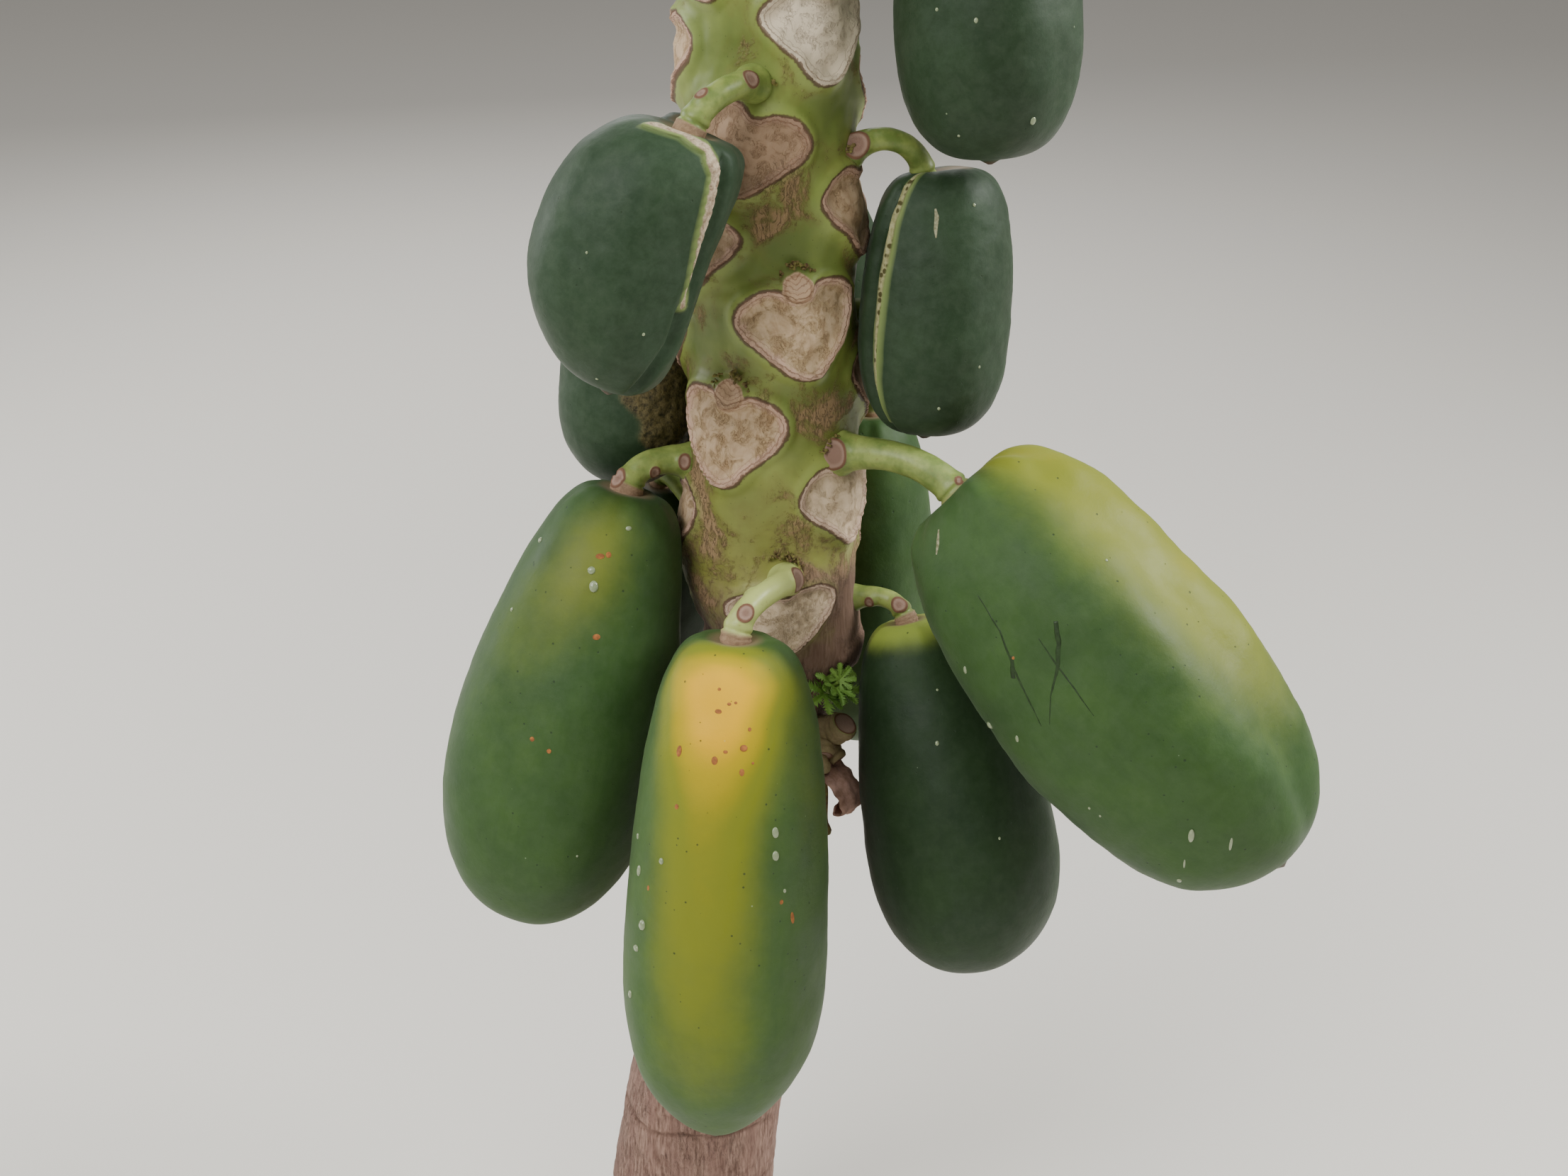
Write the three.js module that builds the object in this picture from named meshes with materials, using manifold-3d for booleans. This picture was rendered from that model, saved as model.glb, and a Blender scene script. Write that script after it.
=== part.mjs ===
// A papaya tree in fruit, in millimetres, +Z up. The origin is the middle of the flat cut under
// the trunk, at ground level. The front, where most ripe fruit hangs, looks towards -Y.
import * as THREE from "three";
import { mergeVertices } from "three/addons/utils/BufferGeometryUtils.js";
import Module from "manifold-3d";

// Trunk: height, sideways place of its middle, and radius. It leans to the right as it rises,
// is narrow under the swollen green column, and flares at the foot.
const TRUNK_STATIONS = [
  [0, 0, 70],
  [30, 2, 61],
  [130, 10, 54.6],
  [300, 36, 49],
  [400, 51, 43.5],
  [450, 57, 41.5],
  [497, 60.7, 43.5],
  [522, 61.8, 49.5],
  [548, 62.6, 52],
  [600, 63, 51],
  [700, 63.5, 50],
  [900, 61.5, 47],
  [1200, 60, 42],
  [1400, 61, 35],
  [1500, 62, 25],
  [1540, 62, 12],
];
const TRUNK_SIDES = 20;
const TRUNK_TIP = 1540;
const COLUMN_FOOT = 500; // where the swollen column ends, over the old narrow stem
const COLUMN_FOOT_SLOPE = 0.65; // the column ends higher on the left than on the right
const CLEARANCE = 0.35; // gap between a stalk and the trunk that carries it

// Leaves grow on one spiral round the trunk, and each leaves a heart-shaped scar on a cushion.
const SPIRAL_STEP = 137.5;
const SPIRAL_START = 20; // direction of leaf 0, in degrees from the front towards the right
const LEAF_SWAY = new Map([[8, 9], [-5, 2]]); // two old leaves stood a little aside
const OLDEST_SCAR = 26;
const LAST_FALLEN = -25; // leaves above this one are still green
const YOUNGEST_LEAF = -45;
const CUSHION_HEIGHT = 5;
const CUSHION_WIDTH = 20;
const CUSHION_RISE = 17;
const AXIL_RISE = 31; // a fruit stalk leaves the trunk this far over the middle of a scar

// Fruit: the leaf whose axil carries it, its stalk end, its tip, and its greatest radius.
// widest is where that radius lies along the fruit, neck how much the stalk end is drawn in,
// blunt how square its shoulders are, point how full its tip is, and bow how far it is bent.
// stalk is the stalk's radius, rise its foot's height over the scar, lift how far it arches,
// and aside its end's place beside the middle of the fruit's end, where they are unusual.
const MAIN_FRUIT = [
  { name: "fruit_front", leaf: 8, top: [43, -108, 571], tip: [29, -158, 266], radius: 59,
    widest: 0.66, neck: 0.11, blunt: 4, point: 1.5, bow: [1, -4, 0], rise: 20 },
  { name: "fruit_left_lower", leaf: 6, top: [-21, -20, 625], tip: [-90, -70, 361], radius: 65.5,
    widest: 0.62, neck: 0.25, blunt: 3.6, bow: [-4, 0, 0] },
  { name: "fruit_left_upper", leaf: -5, top: [22, -82, 849], tip: [-24, -102, 714], radius: 46,
    widest: 0.5, neck: 0, blunt: 4, point: 2.6, bow: [-15.5, 0, 5.5], stalk: 7.4 },
  { name: "fruit_left_rear", leaf: 1, top: [-19, 45, 742], tip: [-26, 35, 605], radius: 43 },
  { name: "fruit_right_top", leaf: -11, top: [173, -20, 973], tip: [180, -45, 823], radius: 50,
    widest: 0.55, neck: 0.1, point: 3 },
  { name: "fruit_right_upper", leaf: -3, top: [160, -5, 810], tip: [151, -30, 661], radius: 42.5,
    widest: 0.6, neck: 0.06, blunt: 4, point: 3, stalk: 6.5, rise: 26, lift: 0.45,
    aside: [-12, 0, -6] },
  { name: "fruit_right_rear", leaf: 2, top: [124, 90, 632], tip: [118, 87, 400], radius: 46 },
  { name: "fruit_right_large", leaf: 5, top: [168, -62, 645], tip: [347, -160, 455], radius: 74,
    widest: 0.54, neck: 0.1, bow: [-2, 0, -3], rise: 25, aside: [-3, -2, -9] },
  { name: "fruit_right_lower", leaf: 10, top: [143, -20, 540], tip: [192, -80, 330], radius: 58,
    widest: 0.66, neck: 0.26, bow: [3, 0, 0], stalk: 5.8 },
];
const REAR_FRUIT = [
  { name: "fruit_rear_small", leaf: 4, top: [34, 92, 662], tip: [30, 104, 585], radius: 25 },
  { name: "fruit_rear_lower", leaf: 9, top: [-8, 76, 590], tip: [-30, 106, 412], radius: 43 },
  { name: "fruit_rear_right", leaf: -1, top: [90, 84, 776], tip: [99, 104, 654], radius: 37 },
  { name: "fruit_rear_left", leaf: -4, top: [14, 84, 815], tip: [4, 112, 700], radius: 36 },
  { name: "fruit_rear_upper", leaf: -9, top: [66, 84, 936], tip: [78, 108, 812], radius: 40 },
];
const UPPER_FRUIT_FIRST = -14; // from here up each fallen leaf's axil has a young fruit
const UPPER_FRUIT_LONGEST = 122;
const UPPER_FRUIT_SHORTEST = 46;
const UPPER_FRUIT_SLIMNESS = 0.28; // radius over length
const STALK_THICKNESS = 0.125; // radius of a stalk over the radius of its fruit
const STALK_THINNEST = 4.2;
const FRUIT_RIBS = 5;
const RIB_DEPTH = 0.014;

// Leaves: a long petiole with a thin blade of seven lobes at its end.
const PETIOLE_LONGEST = 640;
const PETIOLE_SHORTEST = 170;
const PETIOLE_FOOT = 11;
const PETIOLE_TOP = 7;
const LOBE_LONGEST = 300;
const LOBE_SHORTEST = 80;
const FULL_SIZE_SHARE = 0.5; // this share of the leaves, from the oldest, is full grown
const LOWEST_RISE = 14; // slope of the oldest petiole, in degrees
const STEEPEST_RISE = 80;
const BLADE_THICKNESS = 6;
const LOBE_ANGLES = [-128, -84, -42, 0, 42, 84, 128];
const LOBE_SHARES = [0.58, 0.8, 0.95, 1, 0.95, 0.8, 0.58];
const SINUS = 0.25; // the blade is whole this far out between two lobes

// The stub of an old fruit stalk on the narrow stem, with the shoot that sprouts over it.
const STUB_DIRECTION = 52;
const STUB_HEIGHT = 466;
const STUB_LENGTH = 29;
const STUB_RADIUS = 9.5;
const SPROUT_DIRECTION = 46;
const SPROUT_HEIGHT = 490;
const SPROUT_LENGTH = 22;
const SPROUT_LEAF = 22;
const SPROUT_LEAVES = 6;
const BRACT_HEIGHT = 446;
const BRACT_LENGTH = 44;
const BRACT_WIDTH = 25;
const BRACT_CURL = 2; // radians that the strip turns through
const BRACT_STEPS = 5;
const BRACT_THICKNESS = 2;

// The growing tip: a spear of folded leaves that stand up round the end of the trunk.
const TIP_LENGTH = 95;
const TIP_RADIUS = 9;
const TIP_LEAVES = 6;

const GREEN_BARK = { color: 0x7c9448, roughness: 0.55 };
const GREEN_FRUIT = { color: 0x3c5d38, roughness: 0.4 };
const RIPE_FRUIT = { color: 0xb9a53c, roughness: 0.38 };
const LEAF_GREEN = { color: 0x4f7d35, roughness: 0.6 };
const DRY_BROWN = { color: 0x9a7c68, roughness: 0.85 };

const wasm = await Module();
wasm.setup();

const radians = THREE.MathUtils.degToRad;
const UP = new THREE.Vector3(0, 0, 1);

// A smooth curve through the stations' values in the given column.
function along(stations, column, height) {
  const last = stations.length - 1;
  let i = 0;
  while (i < last - 1 && height > stations[i + 1][0]) i += 1;
  const [low, high] = [stations[i], stations[i + 1]];
  const span = high[0] - low[0];
  const slopeAt = (k) => {
    if (k === 0 || k === last) return 0;
    const rise = stations[k + 1][column] - stations[k - 1][column];
    return rise / (stations[k + 1][0] - stations[k - 1][0]);
  };
  const t = THREE.MathUtils.clamp((height - low[0]) / span, 0, 1);
  const startSlope = i === 0 ? (high[column] - low[column]) / span : slopeAt(i);
  const endSlope = i + 1 === last ? (high[column] - low[column]) / span : slopeAt(i + 1);
  const start = low[column] * (1 + 2 * t) * (1 - t) ** 2 + startSlope * span * t * (1 - t) ** 2;
  return start + high[column] * t * t * (3 - 2 * t) - endSlope * span * t * t * (1 - t);
}

// Direction of a leaf round the trunk, in radians from the front towards the right.
function leafDirection(leaf) {
  return radians(SPIRAL_START - SPIRAL_STEP * leaf + (LEAF_SWAY.get(leaf) ?? 0));
}

// Height of a leaf's foot. The steps are even, then shorten towards the growing tip.
function leafHeight(leaf) {
  if (leaf > -9) return 729 - 20.8 * leaf - 0.08 * leaf * leaf;
  const even = 887 + 21.5 * (-8 - leaf);
  const young = Math.max(0, -24 - leaf);
  return even - 0.4 * young * young;
}

function outward(direction) {
  return new THREE.Vector3(Math.sin(direction), -Math.cos(direction), 0);
}

// How far the leaf cushions push the bark out at a place on the trunk.
function cushionRelief(direction, height, radius) {
  let relief = -CUSHION_HEIGHT / 4;
  for (let leaf = OLDEST_SCAR; leaf >= YOUNGEST_LEAF; leaf -= 1) {
    const rise = height - leafHeight(leaf);
    if (Math.abs(rise) > 3 * CUSHION_RISE) continue;
    const turn = direction - leafDirection(leaf);
    const across = radius * Math.atan2(Math.sin(turn), Math.cos(turn));
    const bump = Math.exp(-((across / CUSHION_WIDTH) ** 2 + (rise / CUSHION_RISE) ** 2) / 2);
    relief += CUSHION_HEIGHT * bump;
  }
  const worn = THREE.MathUtils.smoothstep(height, COLUMN_FOOT - 10, COLUMN_FOOT + 50);
  const young = 1 - 0.6 * THREE.MathUtils.smoothstep(height, 1150, 1400);
  return relief * young * (0.15 + 0.85 * worn);
}

function trunkPoint(direction, height, extra = 0) {
  const middle = along(TRUNK_STATIONS, 1, height);
  const plain = along(TRUNK_STATIONS, 2, height);
  const nearFoot = Math.max(0, 1 - ((height - COLUMN_FOOT) / 130) ** 2);
  const shifted = height + COLUMN_FOOT_SLOPE * nearFoot * plain * Math.sin(direction);
  const radius = along(TRUNK_STATIONS, 2, shifted) + extra;
  const reach = radius + cushionRelief(direction, height, radius);
  return outward(direction).multiplyScalar(reach).add(new THREE.Vector3(middle, 0, height));
}

// A closed body from points and triangles, with its faces turned outwards.
function closedBody(points, triangles) {
  let volume = 0;
  for (const [a, b, c] of triangles) {
    volume += points[a].dot(new THREE.Vector3().crossVectors(points[b], points[c]));
  }
  const index = volume < 0 ? triangles.map(([a, b, c]) => [a, c, b]) : triangles;
  const geometry = new THREE.BufferGeometry();
  geometry.setFromPoints(points);
  geometry.setIndex(index.flat());
  return geometry;
}

// A skin over rings of points, closed by a fan on the first and the last ring.
function skin(rings) {
  const sides = rings[0].length;
  const points = rings.flat();
  const triangles = [];
  for (let k = 0; k + 1 < rings.length; k += 1) {
    for (let j = 0; j < sides; j += 1) {
      const next = (j + 1) % sides;
      const [a, b] = [k * sides + j, k * sides + next];
      triangles.push([a, b, b + sides], [a, b + sides, a + sides]);
    }
  }
  for (const [k, turn] of [[0, true], [rings.length - 1, false]]) {
    const centre = new THREE.Vector3();
    rings[k].forEach((point) => centre.addScaledVector(point, 1 / sides));
    points.push(centre);
    for (let j = 0; j < sides; j += 1) {
      const [a, b] = [k * sides + j, k * sides + ((j + 1) % sides)];
      triangles.push(turn ? [points.length - 1, b, a] : [points.length - 1, a, b]);
    }
  }
  return closedBody(points, triangles);
}

// A round limb along a curve, whose radius goes by radiusAt(share of the length).
function limb(curve, steps, sides, radiusAt) {
  const frames = curve.computeFrenetFrames(steps, false);
  const rings = [];
  for (let k = 0; k <= steps; k += 1) {
    const centre = curve.getPointAt(k / steps);
    const ring = [];
    for (let j = 0; j < sides; j += 1) {
      const turn = (2 * Math.PI * j) / sides;
      const radius = radiusAt(k / steps);
      const point = centre.clone();
      point.addScaledVector(frames.normals[k], radius * Math.cos(turn));
      point.addScaledVector(frames.binormals[k], radius * Math.sin(turn));
      ring.push(point);
    }
    rings.push(ring);
  }
  return skin(rings);
}

function solid(geometry) {
  const plain = geometry.clone();
  plain.deleteAttribute("normal");
  plain.deleteAttribute("uv");
  const merged = mergeVertices(plain, 1e-3);
  return new wasm.Manifold(
    new wasm.Mesh({
      numProp: 3,
      vertProperties: new Float32Array(merged.attributes.position.array),
      triVerts: new Uint32Array(merged.index.array),
    }),
  );
}

function geometryOf(body) {
  const made = body.getMesh();
  const geometry = new THREE.BufferGeometry();
  geometry.setAttribute("position", new THREE.BufferAttribute(made.vertProperties, 3));
  geometry.setIndex(new THREE.BufferAttribute(made.triVerts, 1));
  return geometry;
}

// Joins the pieces, cuts away what would reach into another body, and keeps the largest part.
function fuse(pieces, cutter) {
  let body = solid(pieces[0]);
  for (const piece of pieces.slice(1)) body = body.add(solid(piece));
  if (cutter) body = body.subtract(cutter);
  const parts = body.decompose();
  parts.sort((a, b) => b.volume() - a.volume());
  return geometryOf(parts[0]);
}

const tree = new THREE.Group();
tree.name = "papaya_tree";

function addNode(name, geometry, look) {
  geometry.computeVertexNormals();
  const mesh = new THREE.Mesh(geometry, new THREE.MeshStandardMaterial({ ...look, metalness: 0 }));
  mesh.name = name;
  tree.add(mesh);
}

// Trunk: rings close together where the cushions show, and wider apart on the old stem.
function trunkGeometry(extra) {
  const heights = [];
  let height = 0;
  while (height < TRUNK_TIP - 4) {
    heights.push(height);
    if (height < 440) height += 32;
    else height += height < 1150 ? 13 : 18;
  }
  heights.push(TRUNK_TIP);
  const rings = heights.map((level) => {
    const ring = [];
    for (let j = 0; j < TRUNK_SIDES; j += 1) {
      ring.push(trunkPoint((2 * Math.PI * j) / TRUNK_SIDES, level, extra));
    }
    return ring;
  });
  return skin(rings);
}

addNode("trunk", trunkGeometry(0), GREEN_BARK);
const trunkSpace = solid(trunkGeometry(CLEARANCE));

// Radius of a fruit at a share of its length from the stalk end, over its greatest radius.
function fruitProfile(share, { widest = 0.6, neck = 0.12, blunt = 3.2, point = 2.2 }) {
  if (share < widest) {
    const s = share / widest;
    const drawnIn = 1 - (neck * (Math.cos(Math.PI * s) + 1)) / 2;
    return (1 - (1 - s) ** 3.2) ** (1 / blunt) * drawnIn;
  }
  const q = (1 - share) / (1 - widest);
  return (1 - (1 - q) ** 2.2) ** (1 / point);
}

function fruitBody(fruit, rings, sides) {
  const top = new THREE.Vector3(...fruit.top);
  const axis = new THREE.Vector3(...fruit.tip).sub(top);
  const across = new THREE.Vector3().crossVectors(axis, new THREE.Vector3(0, 1, 0)).normalize();
  const other = new THREE.Vector3().crossVectors(axis, across).normalize();
  const bow = new THREE.Vector3(...(fruit.bow ?? [0, 0, 0]));
  const made = [];
  for (let k = 0; k < rings; k += 1) {
    const share = (1 - Math.cos((Math.PI * (k + 0.35)) / (rings - 0.3))) / 2;
    const centre = top.clone().addScaledVector(axis, share);
    centre.addScaledVector(bow, 4 * share * (1 - share));
    const ring = [];
    for (let j = 0; j < sides; j += 1) {
      const turn = (2 * Math.PI * j) / sides;
      const rib = 1 + RIB_DEPTH * Math.cos(FRUIT_RIBS * turn);
      const radius = fruit.radius * fruitProfile(share, fruit) * rib;
      const point = centre.clone().addScaledVector(across, radius * Math.cos(turn));
      ring.push(point.addScaledVector(other, radius * Math.sin(turn)));
    }
    made.push(ring);
  }
  return skin(made);
}

// The stalk leaves the axil straight out of the trunk and bends down into the fruit.
function stalkCurve(fruit) {
  const direction = leafDirection(fruit.leaf);
  const foot = trunkPoint(direction, leafHeight(fruit.leaf) + (fruit.rise ?? AXIL_RISE), -6);
  const top = new THREE.Vector3(...fruit.top);
  const axis = new THREE.Vector3(...fruit.tip).sub(top).normalize();
  const end = top.add(new THREE.Vector3(...(fruit.aside ?? [0, 0, 0])));
  const reach = foot.distanceTo(end);
  const first = foot.clone().addScaledVector(outward(direction), 0.45 * reach);
  first.addScaledVector(UP, (fruit.lift ?? 0.12) * reach);
  const second = end.clone().addScaledVector(axis, -0.35 * reach);
  return new THREE.CubicBezierCurve3(foot, first, second, end.addScaledVector(axis, 5));
}

function fruitNode(fruit, rings, sides) {
  const thickness = fruit.stalk ?? Math.max(STALK_THINNEST, STALK_THICKNESS * fruit.radius);
  const width = (share) => thickness * (1.1 - 0.15 * Math.sin(Math.PI * share));
  const stalk = limb(stalkCurve(fruit), 5, 5, width);
  return fuse([fruitBody(fruit, rings, sides), stalk], trunkSpace);
}

for (const fruit of MAIN_FRUIT) {
  const look = fruit.name === "fruit_front" ? RIPE_FRUIT : GREEN_FRUIT;
  addNode(fruit.name, fruitNode(fruit, 11, 12), look);
}
for (const fruit of REAR_FRUIT) {
  addNode(fruit.name, fruitNode(fruit, 8, 9), GREEN_FRUIT);
}

// Young fruit under the crown, smaller with each step up the spiral.
const upperCount = UPPER_FRUIT_FIRST - LAST_FALLEN;
for (let k = 0; k <= upperCount; k += 1) {
  const leaf = UPPER_FRUIT_FIRST - k;
  const length = THREE.MathUtils.lerp(UPPER_FRUIT_LONGEST, UPPER_FRUIT_SHORTEST, k / upperCount);
  const radius = UPPER_FRUIT_SLIMNESS * length;
  const axil = trunkPoint(leafDirection(leaf), leafHeight(leaf) + AXIL_RISE);
  const out = outward(leafDirection(leaf));
  const top = axil.clone().addScaledVector(out, 12 + 0.75 * radius).addScaledVector(UP, -12);
  const tip = top.clone().addScaledVector(out, 0.24 * length).addScaledVector(UP, -0.97 * length);
  const fruit = { leaf, top: top.toArray(), tip: tip.toArray(), radius };
  addNode("fruit_upper_" + (k + 1), fruitNode(fruit, 6, 7), GREEN_FRUIT);
}

// One leaf blade: seven pointed lobes round the petiole's end, each with a barb on both sides.
function bladeGeometry(junction, forward, normal, lobe, droop) {
  const side = new THREE.Vector3().crossVectors(normal, forward);
  const place = (angle, reach, aside) => {
    const turn = radians(angle);
    const ahead = reach * Math.cos(turn) - aside * Math.sin(turn);
    const left = reach * Math.sin(turn) + aside * Math.cos(turn);
    const sag = (droop * (ahead * ahead + left * left)) / lobe;
    const point = junction.clone().addScaledVector(forward, ahead);
    return point.addScaledVector(side, left).addScaledVector(normal, -sag);
  };
  const points = [junction.clone()];
  const faces = [];
  const add = (angle, reach, aside) => points.push(place(angle, reach * lobe, aside * lobe)) - 1;
  const count = LOBE_ANGLES.length;
  const sinuses = [];
  for (let k = 0; k <= count; k += 1) {
    const before = k === 0 ? LOBE_ANGLES[count - 1] - 360 : LOBE_ANGLES[k - 1];
    const after = k === count ? LOBE_ANGLES[0] + 360 : LOBE_ANGLES[k];
    const share = k % count === 0 ? 0.4 * SINUS : SINUS;
    if (k < count) sinuses.push(add((before + after) / 2, share, 0));
  }
  LOBE_ANGLES.forEach((angle, k) => {
    const share = LOBE_SHARES[k];
    const tip = add(angle, share, 0);
    for (const hand of [-1, 1]) {
      const sinus = sinuses[hand < 0 ? k : (k + 1) % count];
      const barb = add(angle, 0.68 * share, hand * 0.2 * share);
      const notch = add(angle, 0.6 * share, hand * 0.08 * share);
      const half = [[0, sinus, notch], [sinus, barb, notch], [0, notch, tip]];
      faces.push(...half.map(([a, b, c]) => (hand < 0 ? [a, b, c] : [a, c, b])));
    }
  });
  return plate(points, faces, normal, BLADE_THICKNESS);
}

// A plate of even thickness under a sheet of triangles, with walls on the sheet's open edges.
function plate(points, faces, normal, thickness) {
  const count = points.length;
  const under = points.map((point) => point.clone().addScaledVector(normal, -thickness));
  const triangles = [...faces, ...faces.map(([a, b, c]) => [a + count, c + count, b + count])];
  const edges = new Map();
  for (const [a, b, c] of faces) {
    for (const [from, to] of [[a, b], [b, c], [c, a]]) edges.set(from + " " + to, [from, to]);
  }
  for (const [from, to] of edges.values()) {
    if (edges.has(to + " " + from)) continue;
    triangles.push([to, from, from + count], [to, from + count, to + count]);
  }
  return closedBody([...points, ...under], triangles);
}

function leafPieces(direction, foot, rise, petiole, lobe, thickness) {
  const out = outward(direction);
  const towards = (degrees, reach) => {
    const angle = radians(degrees);
    const step = out.clone().multiplyScalar(reach * Math.cos(angle));
    return step.addScaledVector(UP, reach * Math.sin(angle));
  };
  const bend = foot.clone().add(towards(rise + 7, 0.5 * petiole));
  const junction = bend.clone().add(towards(rise - 7, 0.5 * petiole));
  const curve = new THREE.QuadraticBezierCurve3(foot, bend, junction);
  const stem = limb(curve, 4, 5, (share) =>
    thickness * THREE.MathUtils.lerp(PETIOLE_FOOT, PETIOLE_TOP, share));
  const tilt = 30 - 0.25 * rise;
  const forward = towards(-tilt, 1);
  const normal = towards(90 - tilt, 1);
  const seat = junction.clone().addScaledVector(normal, 0.9 * BLADE_THICKNESS);
  return [bladeGeometry(seat, forward, normal, lobe, 0.16), stem];
}

const firstGreen = LAST_FALLEN - 1;
const leafCount = firstGreen - YOUNGEST_LEAF;
for (let k = 0; k <= leafCount; k += 1) {
  const leaf = firstGreen - k;
  const share = k / leafCount;
  const youth = Math.max(0, (share - FULL_SIZE_SHARE) / (1 - FULL_SIZE_SHARE)) ** 1.5;
  const petiole = THREE.MathUtils.lerp(PETIOLE_LONGEST, PETIOLE_SHORTEST, youth);
  const lobe = THREE.MathUtils.lerp(LOBE_LONGEST, LOBE_SHORTEST, youth);
  const rise = THREE.MathUtils.lerp(LOWEST_RISE, STEEPEST_RISE, share);
  const direction = leafDirection(leaf);
  const foot = trunkPoint(direction, leafHeight(leaf), -8);
  const pieces = leafPieces(direction, foot, rise, petiole, lobe, 1 - 0.4 * youth);
  addNode("leaf_" + String(k + 1).padStart(2, "0"), fuse(pieces, trunkSpace), LEAF_GREEN);
}

// A small folded leaf: a narrow diamond with its rib a little lower than its edges.
function smallLeaf(foot, ahead, normal, length, width, thickness) {
  const side = new THREE.Vector3().crossVectors(normal, ahead).normalize();
  const middle = foot.clone().addScaledVector(ahead, 0.5 * length);
  const edge = (hand) => {
    const point = middle.clone().addScaledVector(side, (hand * width) / 2);
    return point.addScaledVector(normal, 0.2 * width);
  };
  const tip = foot.clone().addScaledVector(ahead, length);
  const faces = [[0, 1, 2], [1, 3, 2], [0, 4, 1], [1, 4, 3]];
  return plate([foot, middle, edge(-1), tip, edge(1)], faces, normal, thickness);
}

// Leaves in a whorl round a short shoot, which lean out from it by the given angle.
function whorl(foot, axis, length, radius, count, leafLength, lean) {
  const shoot = new THREE.LineCurve3(foot, foot.clone().addScaledVector(axis, length));
  const pieces = [limb(shoot, 3, 6, (share) => radius * (1 - 0.55 * share))];
  const first = new THREE.Vector3().crossVectors(axis, new THREE.Vector3(1, 0, 0)).normalize();
  const second = new THREE.Vector3().crossVectors(axis, first);
  for (let j = 0; j < count; j += 1) {
    const turn = radians(SPIRAL_STEP * j);
    const sideways = first.clone().multiplyScalar(Math.cos(turn));
    sideways.addScaledVector(second, Math.sin(turn));
    const ahead = axis.clone().multiplyScalar(Math.cos(lean)).addScaledVector(sideways, Math.sin(lean));
    const normal = axis.clone().multiplyScalar(Math.sin(lean)).addScaledVector(sideways, -Math.cos(lean));
    const base = foot.clone().addScaledVector(axis, length * (0.35 + (0.5 * j) / count));
    const size = leafLength * (1 - (0.35 * j) / count);
    pieces.push(smallLeaf(base, ahead, normal, size, 0.5 * size, Math.max(1.2, 0.04 * size)));
  }
  return pieces;
}

const tipFoot = new THREE.Vector3(along(TRUNK_STATIONS, 1, TRUNK_TIP), 0, TRUNK_TIP - 4);
const tipPieces = whorl(tipFoot, UP, TIP_LENGTH, TIP_RADIUS, TIP_LEAVES, TIP_LENGTH, radians(24));
addNode("growing_tip", fuse(tipPieces, trunkSpace), LEAF_GREEN);

// The old stub swells at its knots and ends in a flat cut.
const stubOut = outward(radians(STUB_DIRECTION));
const stubFoot = trunkPoint(radians(STUB_DIRECTION), STUB_HEIGHT, -6);
const stubBend = stubFoot.clone().addScaledVector(stubOut, 0.6 * STUB_LENGTH);
const stubEnd = stubBend.clone().addScaledVector(stubOut, 0.25 * STUB_LENGTH);
stubEnd.addScaledVector(UP, 0.35 * STUB_LENGTH);
const stubCurve = new THREE.QuadraticBezierCurve3(stubFoot, stubBend, stubEnd);
const stub = limb(stubCurve, 7, 8, (share) => STUB_RADIUS * (1 + 0.12 * Math.sin(16 * share)));
addNode("fruit_stub", fuse([stub], trunkSpace), DRY_BROWN);

const sproutOut = outward(radians(SPROUT_DIRECTION));
const sproutFoot = trunkPoint(radians(SPROUT_DIRECTION), SPROUT_HEIGHT, -4);
const sproutAxis = sproutOut.clone().add(UP).normalize();
const sproutPieces = whorl(
  sproutFoot, sproutAxis, SPROUT_LENGTH, 3, SPROUT_LEAVES, SPROUT_LEAF, radians(55));
addNode("side_sprout", fuse(sproutPieces, trunkSpace), LEAF_GREEN);

// A dry bract below the stub: a strip that curls out and down.
const bractFoot = trunkPoint(radians(STUB_DIRECTION), BRACT_HEIGHT, 1);
const bractSide = new THREE.Vector3().crossVectors(UP, stubOut);
const bractPoints = [];
const bractFaces = [];
const bractBend = BRACT_LENGTH / BRACT_CURL;
for (let k = 0; k <= BRACT_STEPS; k += 1) {
  const turn = (BRACT_CURL * k) / BRACT_STEPS;
  const middle = bractFoot.clone().addScaledVector(stubOut, bractBend * Math.sin(turn));
  middle.addScaledVector(UP, -bractBend * (1 - Math.cos(turn)));
  for (const hand of [-1, 1]) {
    const width = BRACT_WIDTH * (1 - 0.35 * (k / BRACT_STEPS));
    bractPoints.push(middle.clone().addScaledVector(bractSide, (hand * width) / 2));
  }
  const corner = 2 * k;
  if (k === BRACT_STEPS) continue;
  bractFaces.push([corner, corner + 1, corner + 3], [corner, corner + 3, corner + 2]);
}
const bractNormal = UP.clone().add(stubOut).normalize();
const bract = plate(bractPoints, bractFaces, bractNormal, BRACT_THICKNESS);
addNode("dry_bract", fuse([bract], trunkSpace), DRY_BROWN);

export default tree;
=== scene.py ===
import math

import bmesh
import bpy
import numpy as np
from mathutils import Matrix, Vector, noise


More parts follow.
